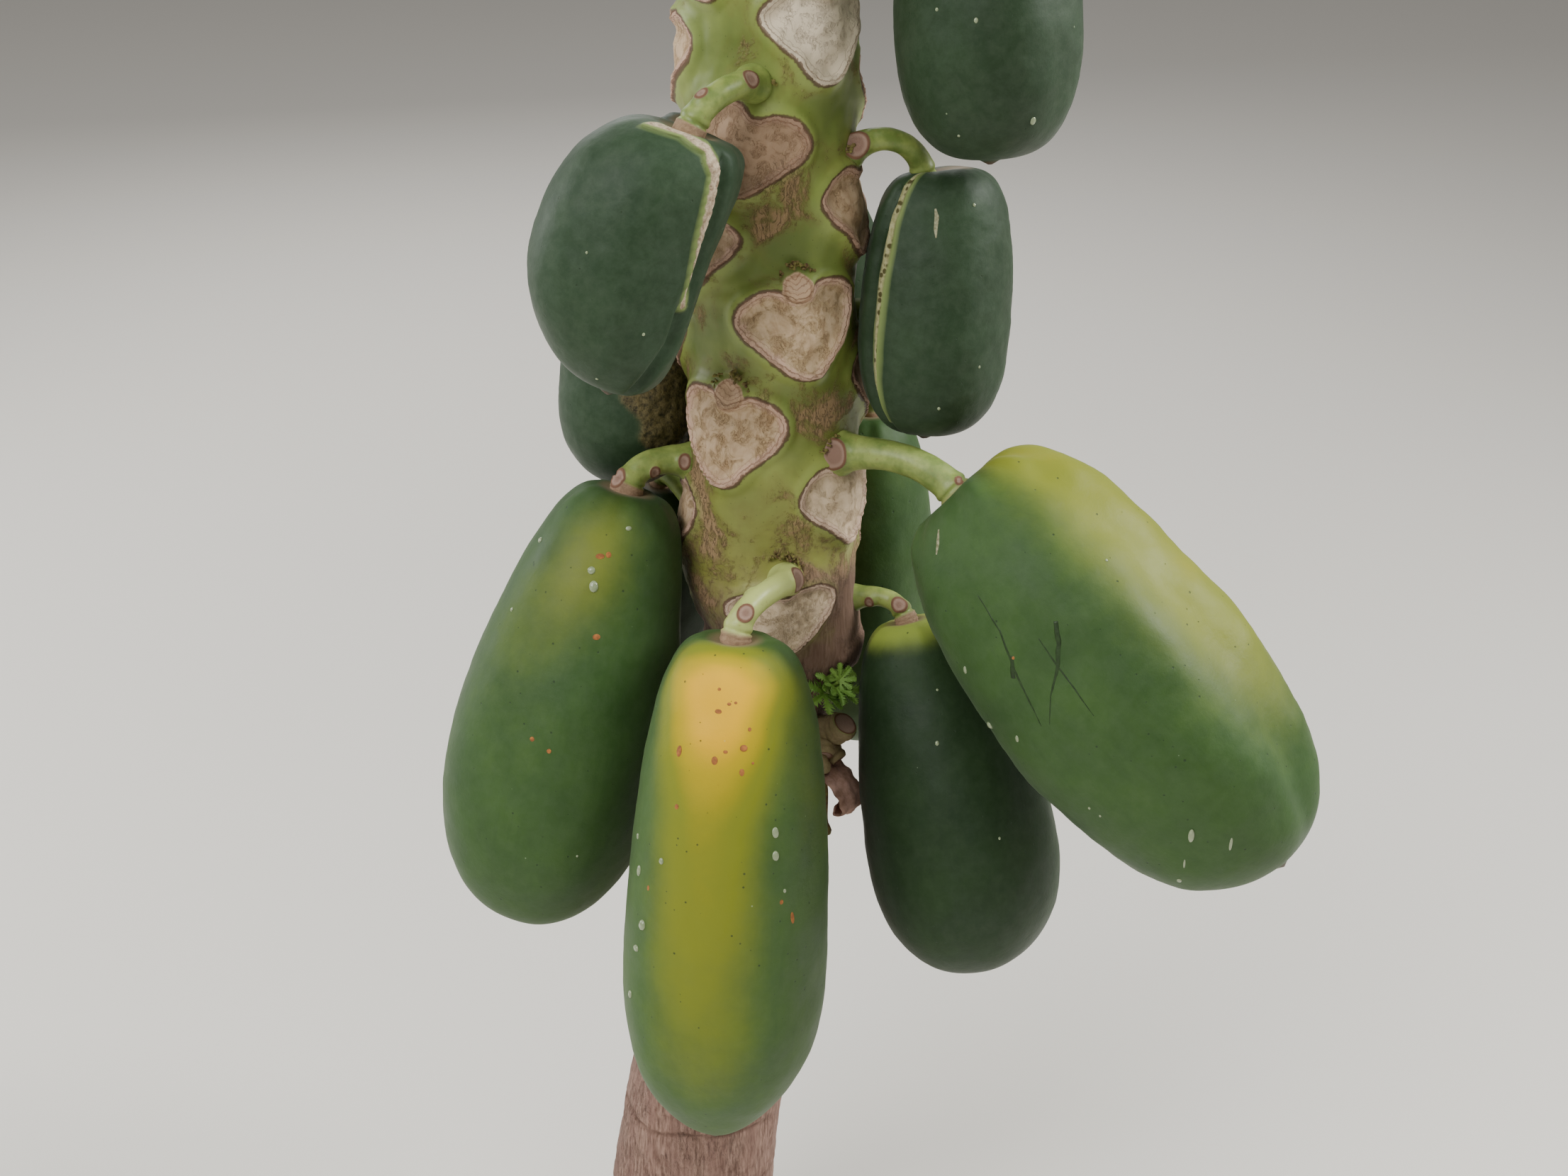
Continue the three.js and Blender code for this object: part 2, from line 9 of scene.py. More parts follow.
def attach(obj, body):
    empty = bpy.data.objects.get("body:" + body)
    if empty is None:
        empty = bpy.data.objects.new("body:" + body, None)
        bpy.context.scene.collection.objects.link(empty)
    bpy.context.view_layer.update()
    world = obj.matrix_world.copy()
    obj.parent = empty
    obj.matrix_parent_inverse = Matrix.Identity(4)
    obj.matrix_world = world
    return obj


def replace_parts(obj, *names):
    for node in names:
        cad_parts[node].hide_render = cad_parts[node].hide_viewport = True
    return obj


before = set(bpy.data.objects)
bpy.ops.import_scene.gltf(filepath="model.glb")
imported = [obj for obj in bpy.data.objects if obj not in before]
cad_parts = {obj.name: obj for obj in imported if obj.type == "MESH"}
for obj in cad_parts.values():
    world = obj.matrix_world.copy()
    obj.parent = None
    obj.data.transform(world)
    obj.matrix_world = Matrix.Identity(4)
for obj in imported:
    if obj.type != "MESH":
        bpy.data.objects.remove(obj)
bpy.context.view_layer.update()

# Camera: stands in front of the ripest fruit, a little lower than the lowest leaves, and looks
# down on the fruiting part of the stem. The lens is a normal one, so the fruit keep their shapes.
CAMERA_PLACE = (0.070, -1.196, 1.107)
CAMERA_DIP = 25
LENS_LENGTH = 50
SENSOR_WIDTH = 36

lens = bpy.data.cameras.new("camera")
lens.lens = LENS_LENGTH
lens.sensor_width = SENSOR_WIDTH
lens.clip_start = 0.01
camera = bpy.data.objects.new("camera", lens)
camera.location = CAMERA_PLACE
camera.rotation_euler = (math.radians(90 - CAMERA_DIP), 0, 0)
bpy.context.scene.collection.objects.link(camera)
bpy.context.scene.camera = camera

# Trunk: the soft, hollow stem of a papaya, which never turns to hard wood. It grows from its
# tip as a green column, and each leaf that falls leaves a heart-shaped scar on a low cushion.
# Below the column the old stem is narrower, pinkish brown and wrinkled, and flares at the foot.
MM = 0.001
TRUNK_STATIONS = np.array([
    [0, 0, 70], [30, 2, 61], [130, 10, 54.6], [300, 36, 49], [400, 51, 43.5], [450, 57, 41.5],
    [497, 60.7, 43.5], [522, 61.8, 49.5], [548, 62.6, 52], [600, 63, 51], [700, 63.5, 50],
    [900, 61.5, 47], [1200, 60, 42], [1400, 61, 35], [1500, 62, 25], [1540, 62, 12],
])
TRUNK_TIP = 1540
COLUMN_FOOT = 500
COLUMN_FOOT_SLOPE = 0.65
LEAF_STEP = 137.5  # degrees round the stem from each leaf to the next
LEAF_SWAY = {8: 9, -5: 2}
OLDEST_SCAR = 26
LAST_CLEAR_SCAR = 8  # older scars than this one are low, wide and worn
LAST_FALLEN = -25
YOUNGEST_LEAF = -45
CUSHION_HEIGHT = 5
CUSHION_WIDTH = 20
CUSHION_RISE = 17
AXIL_RISE = 31
TRUNK_COLUMNS = 144
FAR = 40.0  # distance in mm from a scar or a mark that leaves no trace in the bark
HEART_HALF = [
    (0, 20), (11, 25), (26, 22.5), (37, 12), (33.5, 0.5), (22, -12), (13, -23.5), (6, -29.5),
    (0, -30.5),
]
# Scars that aren't like the rest: moved aside and up in mm, their width and height beside the
# usual, how far the point leans to the right in degrees, and how brown they have gone. Below 0
# in the last place, the scar is paler than the usual.
SCAR_SHAPES = {
    8: (-1, -3, 0.87, 0.7, 4, -0.3), 6: (-4, 0, 0.8, 1, 0, 0.2), 5: (0, -1, 0.78, 1, 15, -0.3),
    3: (1, -1, 0.95, 1.04, -7, 0.1), 0: (0, 0, 1.03, 1, 8, -0.05), -3: (1, 0, 0.92, 1, 5, 0.3),
    -5: (-3, -1.5, 0.92, 0.95, -16, 0.75), -8: (-1.5, 0, 1, 1.02, 3, -1.2),
    10: (6, 0, 0.7, 0.8, 0, 0.8),
}
# Scars whose axil shows the round mark of a fallen fruit, and the mark's radius.
FALLEN_FRUIT = {0: 8.5, 3: 9, 7: 7, -2: 8, -6: 8, -7: 7, -8: 6, -10: 7, -12: 6, -13: 6}


def smooth(low, high, value):
    """Goes from 0 at low to 1 at high along an S curve; high may be under low."""
    t = np.clip((value - low) / (high - low), 0, 1)
    return t * t * (3 - 2 * t)


def along(column, height):
    """A smooth curve through the trunk's stations in that column."""
    z = TRUNK_STATIONS[:, 0]
    values = TRUNK_STATIONS[:, column]
    steps = np.diff(values) / np.diff(z)
    slopes = np.concatenate([steps[:1], (values[2:] - values[:-2]) / (z[2:] - z[:-2]), steps[-1:]])
    i = np.clip(np.searchsorted(z, height) - 1, 0, len(z) - 2)
    span = z[i + 1] - z[i]
    t = np.clip((height - z[i]) / span, 0, 1)
    start = (values[i] * (1 + 2 * t) + slopes[i] * span * t) * (1 - t) ** 2
    return start + values[i + 1] * t * t * (3 - 2 * t) - slopes[i + 1] * span * t * t * (1 - t)


def leaf_direction(leaf):
    """Direction of a leaf round the trunk, in radians from the front towards the right."""
    return math.radians(20 - LEAF_STEP * leaf + LEAF_SWAY.get(leaf, 0))


def leaf_height(leaf):
    """Height of a leaf's scar in mm; leaves are numbered downwards as they get older."""
    if leaf > -9:
        return 729 - 20.8 * leaf - 0.08 * leaf * leaf
    return 887 + 21.5 * (-8 - leaf) - 0.4 * max(0, -24 - leaf) ** 2


def outward(direction):
    """Level unit vector that points out of the trunk in that direction."""
    direction = np.asarray(direction, float)
    return np.stack([np.sin(direction), -np.cos(direction), np.zeros_like(direction)], -1)


def across_trunk(direction, leaf, radius):
    """Way along the bark from a leaf's middle line to that direction."""
    turn = direction - leaf_direction(leaf)
    return radius * np.arctan2(np.sin(turn), np.cos(turn))


def cushion_relief(direction, height, radius):
    """How far the cushions under the leaf scars lift the bark, in mm."""
    relief = np.full(np.broadcast(direction, height).shape, -CUSHION_HEIGHT / 4)
    for leaf in range(OLDEST_SCAR, YOUNGEST_LEAF - 1, -1):
        rise = height - leaf_height(leaf)
        across = across_trunk(direction, leaf, radius)
        bump = np.exp(-((across / CUSHION_WIDTH) ** 2 + (rise / CUSHION_RISE) ** 2) / 2)
        relief = relief + CUSHION_HEIGHT * bump * (np.abs(rise) <= 3 * CUSHION_RISE)
    worn = smooth(COLUMN_FOOT - 10, COLUMN_FOOT + 50, height)
    return relief * (1 - 0.6 * smooth(1150, 1400, height)) * (0.15 + 0.85 * worn)


def trunk_radius(direction, height):
    """Radius of the trunk without its cushions; the column's foot lies higher on the left."""
    plain = along(2, height)
    near_foot = np.maximum(0, 1 - ((height - COLUMN_FOOT) / 130) ** 2)
    shifted = height + COLUMN_FOOT_SLOPE * near_foot * plain * np.sin(direction)
    return along(2, shifted), shifted


def trunk_point(direction, height, extra=0):
    """A point on the bark, or that many mm outside it."""
    radius = trunk_radius(direction, height)[0] + extra
    reach = radius + cushion_relief(direction, height, radius)
    middle = np.stack([along(1, height), 0 * radius, height + 0 * radius], -1)
    return outward(direction) * np.asarray(reach)[..., None] + middle


def closed_spline(points, steps):
    """A smooth closed line through the points."""
    points = np.array(points, float)
    before, after, beyond = (np.roll(points, k, 0) for k in (1, -1, -2))
    rows = []
    for t in np.arange(steps) / steps:
        curve = 2 * points + (after - before) * t
        curve += (2 * before - 5 * points + 4 * after - beyond) * t * t
        curve += (3 * points - before - 3 * after + beyond) * t ** 3
        rows.append(curve / 2)
    return np.stack(rows, 1).reshape(-1, 2)


def distance_to_line(places, line, closed):
    """Distance of each place to a line of points; inside a closed line it is negative."""
    ends = np.roll(line, -1, 0) if closed else line[1:]
    starts = line if closed else line[:-1]
    step = ends - starts
    offset = places[:, None] - starts[None]
    t = np.clip((offset * step).sum(-1) / np.maximum((step ** 2).sum(-1), 1e-9), 0, 1)
    near = np.linalg.norm(offset - t[..., None] * step, axis=-1).min(1)
    if not closed:
        return near
    over = (starts[:, 1] > places[:, None, 1]) != (ends[:, 1] > places[:, None, 1])
    rise = np.where(step[:, 1] == 0, 1e-9, step[:, 1])
    crossing = starts[:, 0] + (places[:, None, 1] - starts[:, 1]) * step[:, 0] / rise
    inside = (over & (places[:, None, 0] < crossing)).sum(1) % 2 == 1
    return np.where(inside, -near, near)


def rough(points, size, octaves=3, seed=0):
    """Even noise between about -1 and 1 at points in mm, with lumps of that size."""
    shift = Vector((seed * 17.3, seed * 5.1, seed * 9.7))
    scaled = np.asarray(points, float).reshape(-1, 3) / size
    values = [noise.fractal(Vector(p) + shift, 1.0, 2.0, octaves) for p in scaled]
    return np.array(values).reshape(np.asarray(points).shape[:-1])


def tube_faces(rings, sides):
    """Quads over rings of points that close on themselves, and a flat face on each end."""
    ring, side = np.meshgrid(np.arange(rings - 1), np.arange(sides), indexing="ij")
    a = ring * sides + side
    b = ring * sides + (side + 1) % sides
    quads = np.stack([a, b, b + sides, a + sides], -1).reshape(-1, 4).tolist()
    low = list(range(sides))[::-1]
    high = [(rings - 1) * sides + side for side in range(sides)]
    return quads + [low, high]


def make_piece(name, points, faces, material, values=None):
    """A piece of the tree from points in mm, with numbers or vectors kept at each point."""
    mesh = bpy.data.meshes.new(name)
    mesh.from_pydata((np.asarray(points) * MM).tolist(), [], faces)
    for label, data in (values or {}).items():
        data = np.asarray(data, np.float32)
        vector = data.ndim == 2
        layer = mesh.attributes.new(label, "FLOAT_VECTOR" if vector else "FLOAT", "POINT")
        layer.data.foreach_set("vector" if vector else "value", data.ravel())
    mesh.shade_smooth()
    mesh.materials.append(material)
    piece = bpy.data.objects.new(name, mesh)
    bpy.context.scene.collection.objects.link(piece)
    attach(piece, "root")
    return piece


def colour(text):
    """Linear colour from an sRGB hex value."""
    parts = [int(text[k:k + 2], 16) / 255 for k in (1, 3, 5)]
    return [c / 12.92 if c <= 0.04045 else ((c + 0.055) / 1.055) ** 2.4 for c in parts] + [1]


def add_node(tree, kind, inputs=None, **settings):
    """Adds a node with its settings, and sets or links its inputs by their name or number."""
    node = tree.nodes.new(kind)
    for name, value in settings.items():
        setattr(node, name, value)
    for name, value in (inputs or {}).items():
        if isinstance(name, int):
            socket = node.inputs[name]
        else:
            socket = next(s for s in node.inputs if s.enabled and s.name == name)
        if isinstance(value, bpy.types.Node):
            value = next(s for s in value.outputs if s.enabled)
        if isinstance(value, bpy.types.NodeSocket):
            tree.links.new(value, socket)
        else:
            socket.default_value = value
    return node


def band(tree, value, level, wide, narrow, most=1.0, uneven=None):
    """A line on the surface: that strong where the value is near the level, and 0 away from it."""
    off = add_node(tree, "ShaderNodeMath", {0: value, 1: level}, operation="SUBTRACT")
    off = add_node(tree, "ShaderNodeMath", {0: off}, operation="ABSOLUTE")
    if uneven is not None:
        off = add_node(tree, "ShaderNodeMath", {0: off, 1: uneven}, operation="ADD")
    return add_node(tree, "ShaderNodeMapRange", {
        "Value": off, "From Min": wide, "From Max": narrow, "To Max": most})


def new_material(name):
    """An empty material, and the node tree to fill."""
    material = bpy.data.materials.new(name)
    material.use_nodes = True
    material.node_tree.nodes.clear()
    return material, material.node_tree


# Living papaya bark over a corky old one, and dry fibre on the scars. It gives a satin green
# skin with brown scurf, matt brown wrinkles low down, and pale matt hearts with dark edges.
bark, tree = new_material("papaya_bark")
place = add_node(tree, "ShaderNodeTexCoord").outputs["Object"]
height = add_node(tree, "ShaderNodeSeparateXYZ", {0: place}).outputs["Z"]
swell, scar, mark, ring = [
    add_node(tree, "ShaderNodeAttribute", attribute_name=label).outputs["Fac"]
    for label in ("swell", "scar", "mark", "ring")]
face = add_node(tree, "ShaderNodeAttribute", attribute_name="face").outputs["Vector"]
tone = add_node(tree, "ShaderNodeSeparateXYZ", {0: face}).outputs["Z"]

# Painted light and shade: the green is lighter on the cushions and darker in the hollows between them,
# as the light falls on them, over lumps of uneven tone.
lumps = add_node(tree, "ShaderNodeTexNoise", {"Vector": place, "Scale": 38, "Detail": 4})
lit = add_node(tree, "ShaderNodeMath", {0: lumps, 1: 4.0}, operation="MULTIPLY")
lit = add_node(tree, "ShaderNodeMath", {0: swell, 1: lit}, operation="ADD")
lit = add_node(tree, "ShaderNodeMapRange", {"Value": lit, "From Min": 0.2, "From Max": 4.4},
               interpolation_type="SMOOTHSTEP")
green = add_node(tree, "ShaderNodeMix", {
    "Factor": lit, "A": colour("#606f32"), "B": colour("#99a653")}, data_type="RGBA")
low_down = add_node(tree, "ShaderNodeMapRange", {
    "Value": height, "From Min": 0.68, "From Max": 0.59, "To Max": 0.42})
blotches = add_node(tree, "ShaderNodeTexNoise", {
    "Vector": place, "Scale": 27, "Detail": 6, "Roughness": 0.6, "Distortion": 0.5})
age = add_node(tree, "ShaderNodeMapRange", {
    "Value": height, "From Min": 0.52, "From Max": 0.86, "To Min": 0.43, "To Max": 0.55})
over = add_node(tree, "ShaderNodeMath", {0: blotches, 1: age}, operation="SUBTRACT")
film = add_node(tree, "ShaderNodeMapRange", {
    "Value": over, "From Min": -0.04, "From Max": 0.1, "To Max": 0.45})
for part, hue in ((low_down, "#a8a056"), (film, "#6f6230")):
    green = add_node(tree, "ShaderNodeMix", {
        "Factor": part, "A": green, "B": colour(hue)}, data_type="RGBA")

# Scurf: brown corky patches 10 to 30 mm across with a pinkish middle and fine upright cracks.
# They spread as the bark gets older, and are few higher up.
flecks = add_node(tree, "ShaderNodeTexNoise", {
    "Vector": place, "Scale": 420, "Detail": 4, "Roughness": 0.7})
fleck = add_node(tree, "ShaderNodeMapRange", {"Value": flecks, "From Min": 0.4, "From Max": 0.62})
stretched = add_node(tree, "ShaderNodeMapping", {"Vector": place, "Scale": (1, 1, 0.3)})
cracks = add_node(tree, "ShaderNodeTexNoise", {
    "Vector": stretched, "Scale": 330, "Detail": 4, "Roughness": 0.6, "Distortion": 0.8})
crack = band(tree, cracks, 0.5, 0.035, 0.0, 0.65)
scurf = add_node(tree, "ShaderNodeMath", {0: fleck, 1: 0.05, 2: over}, operation="MULTIPLY_ADD")
scurf = add_node(tree, "ShaderNodeMapRange", {
    "Value": scurf, "From Min": 0.07, "From Max": 0.15, "To Max": 0.86})
cork = add_node(tree, "ShaderNodeMapRange", {"Value": over, "From Min": 0.07, "From Max": 0.15})
cork = add_node(tree, "ShaderNodeMix", {
    "Factor": cork, "A": colour("#77683c"), "B": colour("#9c7e5f")}, data_type="RGBA")
cork = add_node(tree, "ShaderNodeMix", {
    "Factor": crack, "A": cork, "B": colour("#4d3a29")}, data_type="RGBA")
skin = add_node(tree, "ShaderNodeMix", {"Factor": scurf, "A": green, "B": cork}, data_type="RGBA")
pits = add_node(tree, "ShaderNodeTexVoronoi", {"Vector": place, "Scale": 260})
pit = add_node(tree, "ShaderNodeMapRange", {
    "Value": pits.outputs["Distance"], "From Min": 0.13, "From Max": 0.06, "To Max": 0.4})
skin = add_node(tree, "ShaderNodeMix", {
    "Factor": pit, "A": skin, "B": colour("#2c3517")}, data_type="RGBA")

# Old bark: fine upright wrinkles 1 to 2 mm apart, and a line round the stem at each old leaf.
stretched = add_node(tree, "ShaderNodeMapping", {"Vector": place, "Scale": (1, 1, 0.16)})
wrinkles = add_node(tree, "ShaderNodeTexNoise", {
    "Vector": stretched, "Scale": 520, "Detail": 4, "Roughness": 0.6})
broad = add_node(tree, "ShaderNodeTexNoise", {
    "Vector": stretched, "Scale": 70, "Detail": 4, "Roughness": 0.6})
wrinkle = add_node(tree, "ShaderNodeMapRange", {
    "Value": wrinkles, "From Min": 0.35, "From Max": 0.65})
old = add_node(tree, "ShaderNodeMix", {
    "Factor": wrinkle, "A": colour("#5f463b"), "B": colour("#a08273")}, data_type="RGBA")
broad = add_node(tree, "ShaderNodeMapRange", {
    "Value": broad, "From Min": 0.4, "From Max": 0.62, "To Max": 0.6})
# Near the column's foot the old bark is darkened to a deep brown: partly its own colour, and partly
# painted shade under the foot's overhang.
near_foot = band(tree, height, 0.54, 0.08, 0.03, 0.5)
for part, hue in ((broad, "#7e5f55"), (near_foot, "#54422c"), (ring, "#5a4136")):
    old = add_node(tree, "ShaderNodeMix", {
        "Factor": part, "A": old, "B": colour(hue)}, data_type="RGBA")
wavy = add_node(tree, "ShaderNodeTexNoise", {"Vector": place, "Scale": 22, "Detail": 5})
wavy = add_node(tree, "ShaderNodeMath", {0: wavy, 1: 0.16}, operation="MULTIPLY")
level = add_node(tree, "ShaderNodeMath", {0: height, 1: wavy}, operation="ADD")
oldness = add_node(tree, "ShaderNodeMapRange", {
    "Value": level, "From Min": 0.665, "From Max": 0.615}, interpolation_type="SMOOTHSTEP")
skin = add_node(tree, "ShaderNodeMix", {"Factor": oldness, "A": skin, "B": old}, data_type="RGBA")

# Scar: dry tan fibre, worm-like in the middle, with a pinkish rim whose lines follow the edge.
depth = add_node(tree, "ShaderNodeMath", {0: scar, 1: -1.0}, operation="MULTIPLY")
blots = add_node(tree, "ShaderNodeTexNoise", {
    "Vector": face, "Scale": 0.11, "Detail": 5, "Roughness": 0.62, "Distortion": 0.8})
blot = add_node(tree, "ShaderNodeMapRange", {"Value": blots, "From Min": 0.4, "From Max": 0.6})
tan = add_node(tree, "ShaderNodeMix", {
    "Factor": blot, "A": colour("#bb9f78"), "B": colour("#cfb595")}, data_type="RGBA")
upright = add_node(tree, "ShaderNodeMapping", {"Vector": face, "Scale": (1, 0.42, 1)})
shade = add_node(tree, "ShaderNodeTexNoise", {
    "Vector": upright, "Scale": 0.16, "Detail": 6, "Roughness": 0.65, "Distortion": 0.6})
shade = add_node(tree, "ShaderNodeMapRange", {
    "Value": shade, "From Min": 0.46, "From Max": 0.66, "To Max": 0.5})
pinkish = add_node(tree, "ShaderNodeTexNoise", {
    "Vector": face, "Scale": 0.2, "Detail": 4, "Roughness": 0.6, "Distortion": 1.0})
rim = add_node(tree, "ShaderNodeMath", {0: pinkish, 1: -9.0, 2: depth}, operation="MULTIPLY_ADD")
rim = add_node(tree, "ShaderNodeMapRange", {
    "Value": rim, "From Min": 1.5, "From Max": -1.5, "To Max": 0.9})
brown = add_node(tree, "ShaderNodeMath", {0: tone, 1: 0.0}, operation="MAXIMUM")
cream = add_node(tree, "ShaderNodeMath", {0: tone, 1: -1.0}, operation="MULTIPLY")
threads = add_node(tree, "ShaderNodeTexNoise", {
    "Vector": upright, "Scale": 0.42, "Detail": 4, "Roughness": 0.55, "Distortion": 1.4})
worms = add_node(tree, "ShaderNodeTexNoise", {
    "Vector": face, "Scale": 0.55, "Detail": 3, "Roughness": 0.5, "Distortion": 2.2})
drawn = None
for noisy, thin in ((threads, 0.03), (worms, 0.02)):
    line = band(tree, noisy, 0.5, thin, 0.0, 0.42)
    drawn = line if drawn is None else add_node(
        tree, "ShaderNodeMath", {0: drawn, 1: line}, operation="MAXIMUM")
sparse = add_node(tree, "ShaderNodeMapRange", {
    "Value": blots, "From Min": 0.53, "From Max": 0.4, "To Min": 0.08})
drawn = add_node(tree, "ShaderNodeMath", {0: drawn, 1: sparse}, operation="MULTIPLY")
bent = add_node(tree, "ShaderNodeMath", {0: pinkish, 1: 12.0}, operation="MULTIPLY")
lines = add_node(tree, "ShaderNodeMath", {0: depth, 1: 2.6, 2: bent}, operation="MULTIPLY_ADD")
lines = add_node(tree, "ShaderNodeMath", {0: lines}, operation="SINE")
lines = add_node(tree, "ShaderNodeMapRange", {
    "Value": lines, "From Min": 0.6, "From Max": 1.0, "To Max": 0.6})
edging = add_node(tree, "ShaderNodeMapRange", {
    "Value": depth, "From Min": 7.5, "From Max": 2.5})
lines = add_node(tree, "ShaderNodeMath", {0: lines, 1: edging}, operation="MULTIPLY")
drawn = add_node(tree, "ShaderNodeMath", {0: lines, 1: drawn}, operation="MAXIMUM")
layers = [(shade, "#94734f"), (rim, "#d0ab96"), (brown, "#93765f"), (cream, "#dfcfb6"),
          (drawn, "#7d5539")]
for part, hue in layers:
    tan = add_node(tree, "ShaderNodeMix", {
        "Factor": part, "A": tan, "B": colour(hue)}, data_type="RGBA")
on_scar = add_node(tree, "ShaderNodeMapRange", {
    "Value": scar, "From Min": 0.35, "From Max": -0.35})
lip = add_node(tree, "ShaderNodeMapRange", {
    "Value": scar, "From Min": 6.0, "From Max": 1.5, "To Max": 0.4})
fresh = add_node(tree, "ShaderNodeMath", {0: 1.0, 1: oldness}, operation="SUBTRACT")
lip = add_node(tree, "ShaderNodeMath", {0: lip, 1: fresh}, operation="MULTIPLY")
skin = add_node(tree, "ShaderNodeMix", {
    "Factor": lip, "A": skin, "B": colour("#93a355")}, data_type="RGBA")
uneven = add_node(tree, "ShaderNodeMath", {0: pinkish, 1: 3.2, 2: -1.9}, operation="MULTIPLY_ADD")
edge = band(tree, scar, 0.2, 0.9, 0.2, 0.85, uneven)
skin = add_node(tree, "ShaderNodeMix", {
    "Factor": on_scar, "A": skin, "B": tan}, data_type="RGBA")
skin = add_node(tree, "ShaderNodeMix", {
    "Factor": edge, "A": skin, "B": colour("#54392a")}, data_type="RGBA")

# Mark of a fallen fruit's stalk: a pale round cut with a brown ring, in the notch of the scar.
cut = add_node(tree, "ShaderNodeMapRange", {"Value": mark, "From Min": 0.4, "From Max": -0.4})
cut_ring = band(tree, mark, -1.4, 0.7, 0.1, 0.6, uneven)
cut_face = add_node(tree, "ShaderNodeMix", {
    "Factor": cut_ring, "A": colour("#bfa082"), "B": colour("#8f6c52")}, data_type="RGBA")
cut_face = add_node(tree, "ShaderNodeMix", {
    "Factor": drawn, "A": cut_face, "B": colour("#70492f")}, data_type="RGBA")
skin = add_node(tree, "ShaderNodeMix", {
    "Factor": cut, "A": skin, "B": cut_face}, data_type="RGBA")

grit = add_node(tree, "ShaderNodeMath", {0: flecks, 1: crack}, operation="SUBTRACT")
grit = add_node(tree, "ShaderNodeMath", {0: scurf, 1: grit}, operation="MULTIPLY")
wrinkled = add_node(tree, "ShaderNodeMath", {0: wrinkles, 1: oldness}, operation="MULTIPLY")
relief = add_node(tree, "ShaderNodeMath", {0: grit, 1: wrinkled}, operation="ADD")
scratched = add_node(tree, "ShaderNodeMath", {0: drawn, 1: on_scar}, operation="MULTIPLY")
scratched = add_node(tree, "ShaderNodeMath", {0: scratched, 1: -0.9}, operation="MULTIPLY")
relief = add_node(tree, "ShaderNodeMath", {0: relief, 1: scratched}, operation="ADD")
bump = add_node(tree, "ShaderNodeBump", {"Height": relief, "Distance": 0.0009, "Strength": 0.9})
matt = add_node(tree, "ShaderNodeMath", {0: scurf, 1: oldness}, operation="MAXIMUM")
matt = add_node(tree, "ShaderNodeMath", {0: matt, 1: on_scar}, operation="MAXIMUM")
dull = add_node(tree, "ShaderNodeMapRange", {"Value": matt, "To Min": 0.46, "To Max": 0.85})
shader = add_node(tree, "ShaderNodeBsdfPrincipled", {
    "Base Color": skin, "Roughness": dull, "Normal": bump, "IOR": 1.42})
add_node(tree, "ShaderNodeOutputMaterial", {"Surface": shader})

# The bark's rows lie 2.2 mm apart over the part with scars, and wider over and under it.
heights = np.concatenate([
    np.arange(0, 96, 4.8), np.arange(96, 965, 2.2), np.arange(965, 1532, 4.4), [1536, TRUNK_TIP]])
turns = 2 * np.pi * np.arange(TRUNK_COLUMNS) / TRUNK_COLUMNS
level, turn = np.meshgrid(heights, turns, indexing="ij")
radius, shifted = trunk_radius(turn, level)
relief = cushion_relief(turn, level, radius)
swell = relief.copy()

heart_half = np.array(HEART_HALF)
heart = closed_spline(np.concatenate([heart_half, heart_half[-2:0:-1] * [-1, 1]]), 8)
scar = np.full(level.shape, FAR)
mark = np.full(level.shape, FAR)
face = np.zeros(level.shape + (3,))
rng = np.random.default_rng(11)
for leaf in range(OLDEST_SCAR, LAST_FALLEN - 1, -1):
    size = float(along(2, leaf_height(leaf))) / 50 * (1 - 0.3 * smooth(-12, -26, leaf))
    usual = (0, 0, 1 + 0.05 * rng.normal(), 1 + 0.05 * rng.normal(), 5 * rng.normal(), 0.2)
    aside, up_by, wide, high, lean, browned = SCAR_SHAPES.get(leaf, usual)
    lean = math.radians(lean)
    if leaf > LAST_CLEAR_SCAR:
        wide, high = 1.35 * wide, 0.5 * high
    across = across_trunk(turn, leaf, radius) - aside
    rise = level - leaf_height(leaf) - up_by
    near = (np.abs(across) < 60) & (np.abs(rise) < 50)
    u = (across * math.cos(lean) + rise * math.sin(lean)) / (size * wide)
    v = (rise * math.cos(lean) - across * math.sin(lean)) / (size * high)
    points_near = np.stack([u[near], v[near], 0 * v[near]], -1)
    away = distance_to_line(points_near[:, :2], heart, True) * size
    away = away + 1.1 * rough(np.stack([u[near], v[near], 0 * v[near] + 9 * leaf], -1), 15, 2)
    if leaf > LAST_CLEAR_SCAR:
        away = np.maximum(away, 0.4) + 1.2
    closer = away < scar[near]
    scar[near] = np.where(closer, away, scar[near])
    spot = np.stack([u[near], v[near] + 200 * leaf, np.full(away.shape, browned)], -1)
    face[near] = np.where(closer[:, None], spot, face[near])
    if leaf in FALLEN_FRUIT:
        middle = rise[near] - 24 * size
        round_mark = np.hypot(across[near] - 24 * size * math.tan(-lean), middle)
        round_mark = round_mark - FALLEN_FRUIT[leaf] + 1.2 * rough(points_near, 8, 2, leaf % 7)
        mark[near] = np.minimum(mark[near], round_mark)
    inside = smooth(1.0, -1.6, scar[near]) * closer
    relief[near] += inside * (0.9 - 0.05 * v[near])

